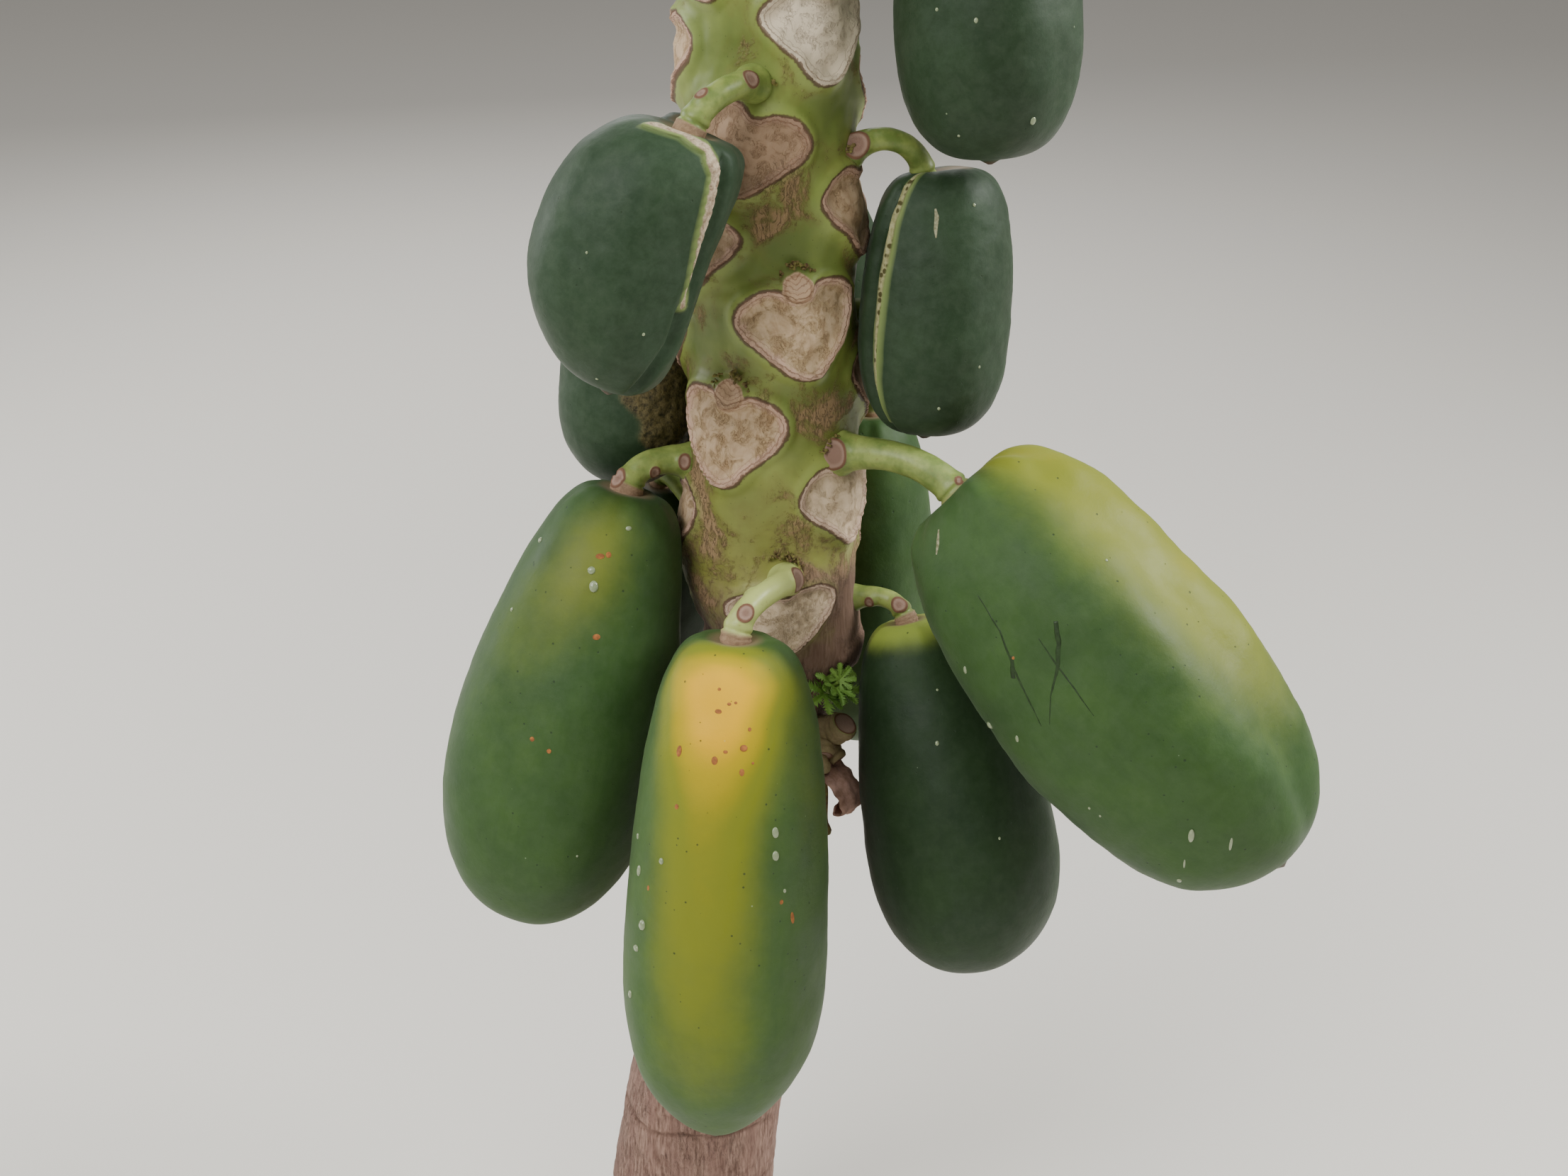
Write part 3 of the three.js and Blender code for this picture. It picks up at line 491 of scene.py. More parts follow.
worn = smooth(COLUMN_FOOT - 60, COLUMN_FOOT + 10, level)
rim = 1.5 * np.exp(-((scar - 1.8) / 3) ** 2) + 0.9 * np.exp(-((scar + 2.2) / 1.5) ** 2)
relief += worn * rim - worn * 1.7 * smooth(-2.5, -10, scar)
relief += worn * (1.3 * smooth(4.0, -2.0, mark) - 0.8 * smooth(-1, -4.5, mark))
relief += worn * 0.6 * relief * smooth(1000, 940, level)
bulge = 1.6 - 1.6 * np.sin(turn)
relief += bulge * np.exp(-((shifted - 536) / 14) ** 2) - 3.0 * np.exp(-((shifted - 497) / 13) ** 2)
line_way = level + 2.0 * np.sin(3 * turn + level / 40) + 1.2 * np.sin(7 * turn)
ring = np.zeros(level.shape)
for leaf in range(11, OLDEST_SCAR + 9):
    broken = smooth(-0.3, 0.4, np.sin(turn - leaf_direction(leaf) + 1.4))
    line = np.exp(-((line_way - leaf_height(leaf) + 9) / 1.3) ** 2) * broken
    ring = np.maximum(ring, line * smooth(COLUMN_FOOT - 10, COLUMN_FOOT - 50, level))
relief -= 0.9 * ring
plain = outward(turn) * radius[..., None] + np.stack([along(1, level), 0 * level, level], -1)
relief += 1.2 * rough(plain, 30) + 0.5 * rough(plain, 8, seed=2) * (1 + smooth(0, -2, scar))
grooves = rough(plain * [1, 1, 0.16], 5, 2, seed=3)
relief += 0.55 * grooves * (1 - worn)
relief *= smooth(TRUNK_TIP, TRUNK_TIP - 30, level) * (0.2 + 0.8 * smooth(0, 12, level))
points = plain + outward(turn) * relief[..., None]
trunk = make_piece(
    "trunk_bark", points.reshape(-1, 3), tube_faces(len(heights), TRUNK_COLUMNS), bark,
    {"swell": swell.ravel(), "scar": scar.ravel(), "mark": mark.ravel(), "ring": ring.ravel(),
     "face": face.reshape(-1, 3)})
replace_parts(trunk, "trunk")

# Fruit: papayas, each a fleshy berry with five faint ribs and a waxy skin. The skin is green
# with small dots, and the one in front has begun to turn yellow from its shoulder.

# Keys, with lengths in mm: "top" is the stalk end, "tip" the blossom end and "radius" the half
# thickness. "bow" moves the middle out of line, "widest" is the share of the length where the
# fruit is thickest, "neck" how far it is drawn in at the stalk, and "blunt" and "point" how blunt
# the stalk end and the blossom end are. "ribs", "lumps", "dents", "groove" (degrees from the
# front, depth) and "folds" (round the stalk) make the skin uneven. "stalk" is the stalk's radius,
# "rise" its foot's height over the leaf scar, "lift" the share of its reach by which it arches
# up, "aside" how far its end stands from "top", and "dip" the depth of the hollow round that end.
MAIN_FRUIT = [
    {"name": "fruit_front", "leaf": 8, "top": (43, -108, 571), "tip": (29, -158, 266),
     "radius": 59, "widest": 0.66, "neck": 0.11, "blunt": 4, "point": 1.5, "bow": (1, -4, 0),
     "rise": 20},
    {"name": "fruit_left_lower", "leaf": 6, "top": (-21, -20, 625), "tip": (-90, -70, 361),
     "radius": 65.5, "widest": 0.62, "neck": 0.25, "blunt": 3.6, "bow": (-4, 0, 0)},
    {"name": "fruit_left_upper", "leaf": -5, "top": (22, -82, 849), "tip": (-24, -102, 714),
     "radius": 46, "widest": 0.5, "neck": 0, "blunt": 4, "point": 2.6, "bow": (-15.5, 0, 5.5),
     "stalk": 7.4},
    {"name": "fruit_left_rear", "leaf": 1, "top": (-19, 45, 742), "tip": (-26, 35, 605),
     "radius": 43},
    {"name": "fruit_right_top", "leaf": -11, "top": (173, -20, 973), "tip": (180, -45, 823),
     "radius": 50, "widest": 0.55, "neck": 0.1, "point": 3},
    {"name": "fruit_right_upper", "leaf": -3, "top": (160, -5, 810), "tip": (151, -30, 661),
     "radius": 42.5, "widest": 0.6, "neck": 0.06, "blunt": 4, "point": 3, "stalk": 6.5,
     "rise": 26, "lift": 0.45, "aside": (-12, 0, -6), "dip": 8},
    {"name": "fruit_right_rear", "leaf": 2, "top": (124, 90, 632), "tip": (118, 87, 400),
     "radius": 46},
    {"name": "fruit_right_large", "leaf": 5, "top": (168, -62, 645), "tip": (347, -160, 455),
     "radius": 74, "widest": 0.54, "neck": 0.1, "bow": (-2, 0, -3), "lumps": 2.8, "ribs": 0.022,
     "dents": 1.0, "groove": (60, 2.8), "folds": 1.8, "rise": 25, "aside": (-1, -2, -7),
     "dip": 9},
    {"name": "fruit_right_lower", "leaf": 10, "top": (143, -20, 540), "tip": (192, -80, 330),
     "radius": 58, "widest": 0.66, "neck": 0.26, "bow": (3, 0, 0), "stalk": 5.8},
]
REAR_FRUIT = [
    {"name": "fruit_rear_small", "leaf": 4, "top": (34, 92, 662), "tip": (30, 104, 585),
     "radius": 25},
    {"name": "fruit_rear_lower", "leaf": 9, "top": (-8, 76, 590), "tip": (-30, 106, 412),
     "radius": 43},
    {"name": "fruit_rear_right", "leaf": -1, "top": (90, 84, 776), "tip": (99, 104, 654),
     "radius": 37},
    {"name": "fruit_rear_left", "leaf": -4, "top": (14, 84, 815), "tip": (4, 112, 700),
     "radius": 36},
    {"name": "fruit_rear_upper", "leaf": -9, "top": (66, 84, 936), "tip": (78, 108, 812),
     "radius": 40},
]
# Rings and sides of a skin: with cracks or rind, of the photo's other fruit, of the rear fruit.
FINE_GRID = (150, 168)
MAIN_GRID = (110, 110)
REAR_GRID = (70, 72)
# Cracks that healed with tan cork: places as degrees from the front, and share of the length.
CRACKS = {
    "fruit_left_upper": {
        "line": [(-45, 0.012), (-5, 0.006), (22, 0.03), (36, 0.1), (44, 0.24), (53, 0.42), (60, 0.6)],
        "width": 3.0, "holes": 0, "fold": [(44, 0.07), (53, 0.24), (60, 0.45), (58, 0.75), (35, 0.97)]},
    "fruit_right_upper": {
        "line": [(-40, 0.012), (-43, 0.08), (-46, 0.22), (-47, 0.45), (-47, 0.7), (-50, 0.93)],
        "width": 2.1, "holes": 1, "fold": [(-52, 0.1), (-59, 0.3), (-58, 0.6), (-52, 0.98)]},
}


def fruit_frame(fruit):
    """The fruit's stalk end, its whole axis, two directions across it, and its bow."""
    top = np.array(fruit["top"], float)
    axis = np.array(fruit["tip"], float) - top
    across = np.cross(axis, (0, 1, 0))
    across /= np.linalg.norm(across)
    other = np.cross(axis, across)
    other /= np.linalg.norm(other)
    return top, axis, across, other, np.array(fruit.get("bow", (0, 0, 0)), float)


def side_turn(fruit, side):
    """Turn round the axis of a place that many degrees from the front, towards the right."""
    across, other = fruit_frame(fruit)[2:4]
    front = math.atan2(-other[1], -across[1])
    hand = 1 if -across[0] * math.sin(front) + other[0] * math.cos(front) > 0 else -1
    return front + hand * np.radians(side)


def turn_side(fruit, turn):
    """Degrees from the front, towards the right, of a turn round the axis."""
    hand = 1 if side_turn(fruit, 1) > side_turn(fruit, 0) else -1
    way = hand * (turn - side_turn(fruit, 0))
    return np.degrees(np.arctan2(np.sin(way), np.cos(way)))


def fruit_profile(share, fruit):
    """The fruit's half thickness along its axis, as a share of its radius."""
    widest = fruit.get("widest", 0.6)
    s = np.clip(share / widest, 0, 1)
    drawn_in = 1 - fruit.get("neck", 0.12) * (np.cos(np.pi * s) + 1) / 2
    shoulder = (1 - (1 - s) ** 3.2) ** (1 / fruit.get("blunt", 3.2)) * drawn_in
    q = np.clip((1 - share) / (1 - widest), 0, 1)
    end = (1 - (1 - q) ** 2.2) ** (1 / fruit.get("point", 2.2))
    return np.where(share < widest, shoulder, end)


def stalk_thickness(fruit):
    """Radius of a fruit's stalk in mm."""
    return fruit.get("stalk", max(4.2, 0.125 * fruit["radius"]))


def skin_map(fruit, share, turn):
    """Places on the skin as mm round the fruit from the front, and mm down from the stalk."""
    length = np.linalg.norm(fruit_frame(fruit)[1])
    side = turn_side(fruit, turn)
    return np.stack([np.radians(side) * fruit["radius"], share * length], -1)


def crack_distance(fruit, share, turn, key):
    """Distance in mm along the skin to a crack's line or to the fold beside it."""
    places = skin_map(fruit, share, turn).reshape(-1, 2)
    length = np.linalg.norm(fruit_frame(fruit)[1])
    line = np.array([(math.radians(side) * fruit["radius"], way * length)
                     for side, way in CRACKS[fruit["name"]][key]])
    return distance_to_line(places, line, False).reshape(share.shape)


def fruit_points(fruit, share, turn):
    """Points of the fruit's skin, in mm."""
    top, axis, across, other, bow = fruit_frame(fruit)
    length = np.linalg.norm(axis)
    rib = 1 + fruit.get("ribs", 0.014) * np.cos(5 * turn)
    reach = fruit["radius"] * fruit_profile(share, fruit) * rib
    thick = stalk_thickness(fruit)
    ends = np.maximum(0, 1 - share / 0.16) ** 2
    reach = reach * (1 - 0.05 * ends * (1 - np.cos(5 * turn)) / 2)
    out = across * np.cos(turn)[..., None] + other * np.sin(turn)[..., None]
    middle = top + axis * share[..., None] + bow * (4 * share * (1 - share))[..., None]
    plain = middle + out * reach[..., None]
    lumps = fruit.get("lumps", 1.2) * fruit["radius"] / 60
    seed = fruit["leaf"] % 31
    swell = lumps * rough(plain, 0.9 * fruit["radius"] + 18, 2, seed)
    swell = swell + fruit.get("dents", 0.45) * rough(plain, 0.3 * fruit["radius"], 3, seed + 5)
    if "groove" in fruit:
        side, deep = fruit["groove"]
        away = turn_side(fruit, turn) - side
        sides = np.exp(-((np.abs(away) - 24) / 12) ** 2)
        swell = swell - deep * (np.exp(-(away / 12) ** 2) - 0.5 * sides)
    swell = swell * smooth(0.0, 0.12, share) * smooth(1.0, 0.9, share)
    folds = np.cos(9 * turn + 1) + 0.6 * np.cos(14 * turn)
    swell = swell + fruit.get("folds", 0.5) * folds * smooth(0.1, 0.03, share) * smooth(0, 0.012, share)
    if fruit["name"] in CRACKS:
        width = CRACKS[fruit["name"]]["width"]
        fold = crack_distance(fruit, share, turn, "fold")
        crack = crack_distance(fruit, share, turn, "line")
        swell = swell - 5.0 * np.exp(-(fold / 4.5) ** 2) + 2.4 * np.exp(-(fold / 15) ** 2)
        swell = swell + 2.3 * smooth(width + 0.8, width - 0.6, crack) - 0.8 * smooth(width - 1, 0, crack)
    if fruit.get("cork"):
        rind = cork_amount(fruit, share, turn)
        swell = swell + rind * (0.8 + 0.8 * rough(plain, 5, 3, seed + 1))
    points = plain + out * swell[..., None]
    aside = np.array(fruit.get("aside", (0, 0, 0)), float)
    away = np.hypot(reach * np.cos(turn) - aside @ across, reach * np.sin(turn) - aside @ other)
    dip = fruit.get("dip", 5.0) * np.exp(-(away / (2.1 * thick)) ** 2) * (share < 0.3)
    nub = 3.0 * np.exp(-(reach / 4.0) ** 2) * (share > 0.7)
    return points + (axis / length) * (dip + nub)[..., None]


def cork_amount(fruit, share, turn):
    """Where the rough brown rind lies: a wide patch on the right, with a ragged edge."""
    side = turn_side(fruit, turn)
    edge = 12 + 14 * np.sin(9 * share) + 5 * np.sin(31 * share + 1)
    return smooth(edge, edge + 7, side) * smooth(115, 95, side)


def fruit_mesh(fruit, rings, sides):
    """Points, faces and the numbers that the skin's material reads, for one fruit."""
    step = (np.arange(rings) + 0.12) / (rings - 0.76)
    share, turn = np.meshgrid(
        (1 - np.cos(np.pi * step)) / 2, 2 * np.pi * np.arange(sides) / sides, indexing="ij")
    points = fruit_points(fruit, share, turn)
    top, axis, across, other, _ = fruit_frame(fruit)
    length = np.linalg.norm(axis)
    local = points - top
    grain = np.stack([local @ across, local @ other, local @ (axis / length)], -1)
    reach = np.hypot(grain[..., 0], grain[..., 1])
    side = turn_side(fruit, turn)
    values = {
        "grain": grain.reshape(-1, 3) * MM,
        "collar": ((reach - 1.35 * stalk_thickness(fruit)) + 60 * (share > 0.4)).ravel(),
        "blossom_end": (reach + 60 * (share < 0.6)).ravel(),
        "ripe_and_lit": ripeness_and_painted_light(fruit, share, side).ravel(),
        "crack": np.full(share.size, 30.0),
        "rind": np.zeros(share.size),
        "holes": np.zeros(share.size),
    }
    if fruit["name"] in CRACKS:
        width = CRACKS[fruit["name"]]["width"]
        taper = np.interp(share, [0, 0.03, 0.08, 0.35, 0.6, 0.95], [0.3, 0.6, 1.1, 0.85, 0.5, 0.4])
        values["holes"] = np.full(share.size, float(CRACKS[fruit["name"]]["holes"]))
        values["crack"] = (crack_distance(fruit, share, turn, "line") - width * taper).ravel()
    if fruit.get("cork"):
        values["rind"] = cork_amount(fruit, share, turn).ravel()
    return points.reshape(-1, 3), tube_faces(rings, sides), values


def ripeness_and_painted_light(fruit, share, side):
    """How far the skin has turned, from 0, green, to 1, orange yellow, with painted light on some fruit
    as the same yellowing.
    """
    if fruit["name"] == "fruit_front":
        down = np.interp(share, [0, 0.03, 0.06, 0.14, 0.21, 0.29, 0.45, 0.6, 0.8, 0.92, 1],
                         [0.3, 0.8, 1.05, 0.95, 0.64, 0.45, 0.38, 0.28, 0.17, 0.03, 0])
        middle = np.interp(share, [0, 0.1, 0.3, 0.6, 1], [-12, -13, -13, -14, -6])
        width = np.interp(share, [0, 0.12, 0.3, 0.6, 1], [66, 43, 34, 35, 42])
        # Painted light: the front fruit's right flank is yellowed a little, for the light that reaches
        # it from the right.
        painted_light_flank = 0.13 * smooth(25, 60, side) * smooth(0.5, 0.3, share) * smooth(0.02, 0.08, share)
        return down * np.exp(-(np.abs(side - middle) / width) ** 2.2) + painted_light_flank
    if fruit["name"] == "fruit_left_lower":
        glow = np.exp(-((side + 12) / 32) ** 2 - ((share - 0.14) / 0.14) ** 2)
        wash = np.exp(-((side + 45) / 35) ** 2 - ((share - 0.3) / 0.22) ** 2)
        return 0.19 * glow + 0.08 * wash + 0.04
    if fruit["name"] == "fruit_right_large":
        # Painted light: on the large fruit this yellow band stands for its sunlit upper right side.
        return 0.4 * np.exp(-((side - 78) / 42) ** 2) * smooth(1.0, 0.4, share) + 0.01
    if fruit["name"] == "fruit_right_lower":
        return 0.4 * np.exp(-(share / 0.06) ** 2)
    if fruit["name"] == "fruit_right_rear":
        # Painted light: the rear fruit on the right is yellowed a little near its top, where light
        # reaches it.
        return 0.07 * np.exp(-((share - 0.1) / 0.2) ** 2)
    return 0 * share


def skin_material(name, fresh, deep, glow, bloom):
    """Waxy papaya skin: satin, with a thin pale bloom, dots of 0.5 to 1 mm and faint streaks."""
    material, tree = new_material(name)
    grain = add_node(tree, "ShaderNodeAttribute", attribute_name="grain").outputs["Vector"]
    ripe_and_lit, collar, end, crack, rind, holes = [
        add_node(tree, "ShaderNodeAttribute", attribute_name=label).outputs["Fac"]
        for label in ("ripe_and_lit", "collar", "blossom_end", "crack", "rind", "holes")]
    clouds = add_node(tree, "ShaderNodeTexNoise", {
        "Vector": grain, "Scale": 22, "Detail": 8, "Roughness": 0.62})
    cloud = add_node(tree, "ShaderNodeMapRange", {
        "Value": clouds, "From Min": 0.3, "From Max": 0.7})
    skin = add_node(tree, "ShaderNodeMix", {
        "Factor": cloud, "A": colour(deep), "B": colour(fresh)}, data_type="RGBA")
    stretched = add_node(tree, "ShaderNodeMapping", {"Vector": grain, "Scale": (1, 1, 0.1)})
    streaks = add_node(tree, "ShaderNodeTexNoise", {
        "Vector": stretched, "Scale": 230, "Detail": 4, "Roughness": 0.6})
    streak = add_node(tree, "ShaderNodeMapRange", {
        "Value": streaks, "From Min": 0.5, "From Max": 0.72, "To Max": 0.32})
    haze = add_node(tree, "ShaderNodeTexNoise", {
        "Vector": grain, "Scale": 110, "Detail": 8, "Roughness": 0.75, "Distortion": 0.2})
    haze = add_node(tree, "ShaderNodeMapRange", {
        "Value": haze, "From Min": 0.4, "From Max": 0.85, "To Max": bloom})
    for part, hue in ((streak, deep), (haze, "#85927e")):
        skin = add_node(tree, "ShaderNodeMix", {
            "Factor": part, "A": skin, "B": colour(hue)}, data_type="RGBA")
    mottled = add_node(tree, "ShaderNodeMath", {0: clouds, 1: 0.16, 2: -0.08},
                       operation="MULTIPLY_ADD")
    # The yellowing steps follow both the ripeness and the painted light that some fruit carry in the
    # same value.
    turned = add_node(tree, "ShaderNodeMath", {0: ripe_and_lit, 1: mottled}, operation="ADD")
    steps = [(0.05, 0.36, glow), (0.36, 0.66, "#ad9600"), (0.62, 0.95, "#e0ac00")]
    for low, high, hue in steps:
        part = add_node(tree, "ShaderNodeMapRange", {
            "Value": turned, "From Min": low, "From Max": high}, interpolation_type="SMOOTHSTEP")
        skin = add_node(tree, "ShaderNodeMix", {
            "Factor": part, "A": skin, "B": colour(hue)}, data_type="RGBA")
    dots = add_node(tree, "ShaderNodeTexVoronoi", {"Vector": grain, "Scale": 190})
    pick = add_node(tree, "ShaderNodeSeparateColor", {0: dots.outputs["Color"]})
    size = add_node(tree, "ShaderNodeMapRange", {
        "Value": pick.outputs[0], "From Min": 0.35, "From Max": 1.0, "To Min": 0.0, "To Max": 0.15})
    dot = add_node(tree, "ShaderNodeMath", {0: size, 1: dots.outputs["Distance"]},
                   operation="SUBTRACT")
    dot = add_node(tree, "ShaderNodeMapRange", {
        "Value": dot, "From Min": 0.0, "From Max": 0.04, "To Max": 0.75})
    pale = add_node(tree, "ShaderNodeTexVoronoi", {"Vector": grain, "Scale": 82})
    pale_pick = add_node(tree, "ShaderNodeSeparateColor", {0: pale.outputs["Color"]})
    pale_size = add_node(tree, "ShaderNodeMapRange", {
        "Value": pale_pick.outputs[1], "From Min": 0.7, "From Max": 1.0, "To Max": 0.07})
    speck = add_node(tree, "ShaderNodeMath", {0: pale_size, 1: pale.outputs["Distance"]},
                     operation="SUBTRACT")
    speck = add_node(tree, "ShaderNodeMapRange", {
        "Value": speck, "From Min": 0.0, "From Max": 0.03, "To Max": 0.55})
    ragged = add_node(tree, "ShaderNodeMath", {0: haze, 1: 4.0, 2: collar},
                      operation="MULTIPLY_ADD")
    worn = add_node(tree, "ShaderNodeMapRange", {
        "Value": ragged, "From Min": 7.5, "From Max": 1.5, "To Max": 0.8})
    ended = add_node(tree, "ShaderNodeMapRange", {
        "Value": end, "From Min": 5.5, "From Max": 3.0, "To Max": 0.9})
    layers = [(dot, "#22331c"), (speck, "#a9bb95"), (worn, "#7f6c52"), (ended, "#4a3322")]
    for part, hue in layers:
        skin = add_node(tree, "ShaderNodeMix", {
            "Factor": part, "A": skin, "B": colour(hue)}, data_type="RGBA")
    healed = add_node(tree, "ShaderNodeTexNoise", {
        "Vector": grain, "Scale": 330, "Detail": 4, "Roughness": 0.7})
    heal = add_node(tree, "ShaderNodeMapRange", {
        "Value": healed, "From Min": 0.35, "From Max": 0.6})
    cork = add_node(tree, "ShaderNodeMix", {
        "Factor": heal, "A": colour("#86705a"), "B": colour("#c4b298")}, data_type="RGBA")
    cells = add_node(tree, "ShaderNodeTexVoronoi", {"Vector": grain, "Scale": 240})
    hole = add_node(tree, "ShaderNodeMapRange", {
        "Value": cells.outputs["Distance"], "From Min": 0.42, "From Max": 0.3})
    hole = add_node(tree, "ShaderNodeMath", {0: hole, 1: holes}, operation="MULTIPLY")
    greenish = add_node(tree, "ShaderNodeMath", {0: holes, 1: 0.55}, operation="MULTIPLY")
    for part, hue in ((greenish, "#7d8a4c"), (hole, "#4a4526")):
        cork = add_node(tree, "ShaderNodeMix", {
            "Factor": part, "A": cork, "B": colour(hue)}, data_type="RGBA")
    on_crack = add_node(tree, "ShaderNodeMapRange", {
        "Value": crack, "From Min": 0.4, "From Max": -0.3})
    beside = add_node(tree, "ShaderNodeMapRange", {
        "Value": crack, "From Min": 3.2, "From Max": 0.6, "To Max": 0.6})
    skin = add_node(tree, "ShaderNodeMix", {
        "Factor": beside, "A": skin, "B": colour("#8fa05a")}, data_type="RGBA")
    skin = add_node(tree, "ShaderNodeMix", {
        "Factor": on_crack, "A": skin, "B": cork}, data_type="RGBA")
    crust = add_node(tree, "ShaderNodeMix", {
        "Factor": heal, "A": colour("#2b281a"), "B": colour("#6a5f3f")}, data_type="RGBA")
    skin = add_node(tree, "ShaderNodeMix", {
        "Factor": rind, "A": skin, "B": crust}, data_type="RGBA")
    rough_part = add_node(tree, "ShaderNodeMath", {0: rind, 1: on_crack}, operation="MAXIMUM")
    rough_part = add_node(tree, "ShaderNodeMath", {0: rough_part, 1: healed},
                          operation="MULTIPLY")
    pores = add_node(tree, "ShaderNodeTexNoise", {
        "Vector": grain, "Scale": 260, "Detail": 5, "Roughness": 0.65})
    pores = add_node(tree, "ShaderNodeMath", {0: pores, 1: 0.22, 2: rough_part},
                     operation="MULTIPLY_ADD")
    pores = add_node(tree, "ShaderNodeMath", {0: dot, 1: -0.2, 2: pores},
                     operation="MULTIPLY_ADD")
    bump = add_node(tree, "ShaderNodeBump", {"Height": pores, "Distance": 0.0012,
                                             "Strength": 0.8})
    waxy = add_node(tree, "ShaderNodeMapRange", {
        "Value": clouds, "From Min": 0.35, "From Max": 0.65, "To Min": 0.5, "To Max": 0.66})
    dull = add_node(tree, "ShaderNodeMix", {
        "Factor": on_crack, "A": waxy, "B": 0.9}, data_type="FLOAT")
    shader = add_node(tree, "ShaderNodeBsdfPrincipled", {
        "Base Color": skin, "Roughness": dull, "Normal": bump, "IOR": 1.4,
        "Specular IOR Level": 0.36, "Sheen Weight": 0.04, "Sheen Roughness": 0.45})
    add_node(tree, "ShaderNodeOutputMaterial", {"Surface": shader})
    return material


turning_skin = skin_material("papaya_skin_turning", "#45612a", "#344f24", "#747a1c", 0.08)
green_skin = skin_material("papaya_skin_green", "#3a5626", "#2a451e", "#777d22", 0.08)
waxy_skin = skin_material("papaya_skin_waxy", "#293e26", "#213520", "#6f8a3c", 0.13)
shaded_skin = skin_material("papaya_skin_shaded", "#263b22", "#1d2f1a", "#6f8a3c", 0.11)
dark_skin = skin_material("papaya_skin_dark", "#223819", "#172a14", "#8a9a40", 0.06)
SKINS = {
    "fruit_front": turning_skin, "fruit_left_lower": green_skin, "fruit_right_large": green_skin,
    # Painted light: the rear fruit on the right wears the lighter green skin, not the dark one of the
    # other rear fruit, for the light on it.
    "fruit_right_lower": dark_skin, "fruit_right_rear": green_skin,
    "fruit_right_upper": shaded_skin, "fruit_right_top": shaded_skin,
}
for fruit in MAIN_FRUIT + REAR_FRUIT:
    name = fruit["name"]
    fruit["cork"] = name == "fruit_left_rear"
    fine = name in CRACKS or fruit["cork"]
    grid = REAR_GRID if fruit in REAR_FRUIT else FINE_GRID if fine else MAIN_GRID
    points, faces, values = fruit_mesh(fruit, *grid)
    skin = SKINS.get(name, waxy_skin if fruit in MAIN_FRUIT else dark_skin)
    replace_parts(make_piece(name + "_skin", points, faces, skin, values), name)

# Stalks: each papaya hangs on a thick green stalk that leaves the axil over a leaf scar. It
# carries round scars where side flowers were shed, and a corky collar where the fruit begins.
STALK_ROWS = 70
# Round scars: share of the stalk, direction that the scar faces, and its radius in mm.
STALK_SCARS = {
    "fruit_front": [(0.18, (1, -0.5, 0.3), 7.0), (0.8, (-0.1, -1, 0.2), 4.6),
                    (0.62, (-1, -0.5, 0.1), 3.0)],
    "fruit_left_lower": [(0.88, (-0.6, -0.5, 0.8), 4.6), (0.58, (0.5, -1, -0.4), 4.4),
                         (0.2, (0.3, -1, 0.3), 4.0)],
    "fruit_left_upper": [(0.3, (0.2, -0.8, 0.4), 5.0), (0.7, (-0.6, -0.6, 0.7), 3.4)],
    "fruit_right_upper": [(0.16, (-0.2, -1, 0.35), 6.2)],
    "fruit_right_large": [(0.1, (-0.3, -1, 0.3), 7.2), (0.9, (0.2, -0.7, 1), 2.6)],
    "fruit_right_lower": [(0.75, (0.1, -1, 0.5), 4.4), (0.35, (-0.1, -1, -0.2), 3.4)],
}

stalk_green, tree = new_material("papaya_stalk")
place = add_node(tree, "ShaderNodeTexCoord").outputs["Object"]
cut, collar, pale = [
    add_node(tree, "ShaderNodeAttribute", attribute_name=label).outputs["Fac"]
    for label in ("cut", "corky", "pale")]
clouds = add_node(tree, "ShaderNodeTexNoise", {
    "Vector": place, "Scale": 90, "Detail": 4, "Roughness": 0.6})
cloud = add_node(tree, "ShaderNodeMapRange", {"Value": clouds, "From Min": 0.36, "From Max": 0.64})
skin = add_node(tree, "ShaderNodeMix", {
    "Factor": cloud, "A": colour("#66793a"), "B": colour("#8f9c54")}, data_type="RGBA")
freckles = add_node(tree, "ShaderNodeTexNoise", {
    "Vector": place, "Scale": 420, "Detail": 4, "Roughness": 0.7})
freckle = add_node(tree, "ShaderNodeMapRange", {
    "Value": freckles, "From Min": 0.58, "From Max": 0.74, "To Max": 0.6})
for part, hue in ((pale, "#aab369"), (freckle, "#7a6a3e")):
    skin = add_node(tree, "ShaderNodeMix", {
        "Factor": part, "A": skin, "B": colour(hue)}, data_type="RGBA")
corky = add_node(tree, "ShaderNodeMix", {
    "Factor": freckles, "A": colour("#5f4433"), "B": colour("#b89b7c")}, data_type="RGBA")
skin = add_node(tree, "ShaderNodeMix", {
    "Factor": collar, "A": skin, "B": corky}, data_type="RGBA")
inside = add_node(tree, "ShaderNodeMapRange", {"Value": cut, "From Min": 0.3, "From Max": -0.3})
hoop = band(tree, cut, -0.7, 1.0, 0.3)
heart_wood = add_node(tree, "ShaderNodeMapRange", {
    "Value": cut, "From Min": -2.2, "From Max": -3.4, "To Max": 0.55})
cut_face = add_node(tree, "ShaderNodeMix", {
    "Factor": heart_wood, "A": colour("#94796a"), "B": colour("#6f5042")}, data_type="RGBA")
cut_face = add_node(tree, "ShaderNodeMix", {
    "Factor": hoop, "A": cut_face, "B": colour("#6e4c38")}, data_type="RGBA")
skin = add_node(tree, "ShaderNodeMix", {
    "Factor": inside, "A": skin, "B": cut_face}, data_type="RGBA")
ridged = add_node(tree, "ShaderNodeMath", {0: collar, 1: inside}, operation="MAXIMUM")
grit = add_node(tree, "ShaderNodeMath", {0: freckles, 1: ridged}, operation="MULTIPLY")
bump = add_node(tree, "ShaderNodeBump", {"Height": grit, "Distance": 0.0008, "Strength": 0.8})
dull = add_node(tree, "ShaderNodeMapRange", {"Value": ridged, "To Min": 0.42, "To Max": 0.85})
shader = add_node(tree, "ShaderNodeBsdfPrincipled", {
    "Base Color": skin, "Roughness": dull, "Normal": bump, "IOR": 1.44})
add_node(tree, "ShaderNodeOutputMaterial", {"Surface": shader})


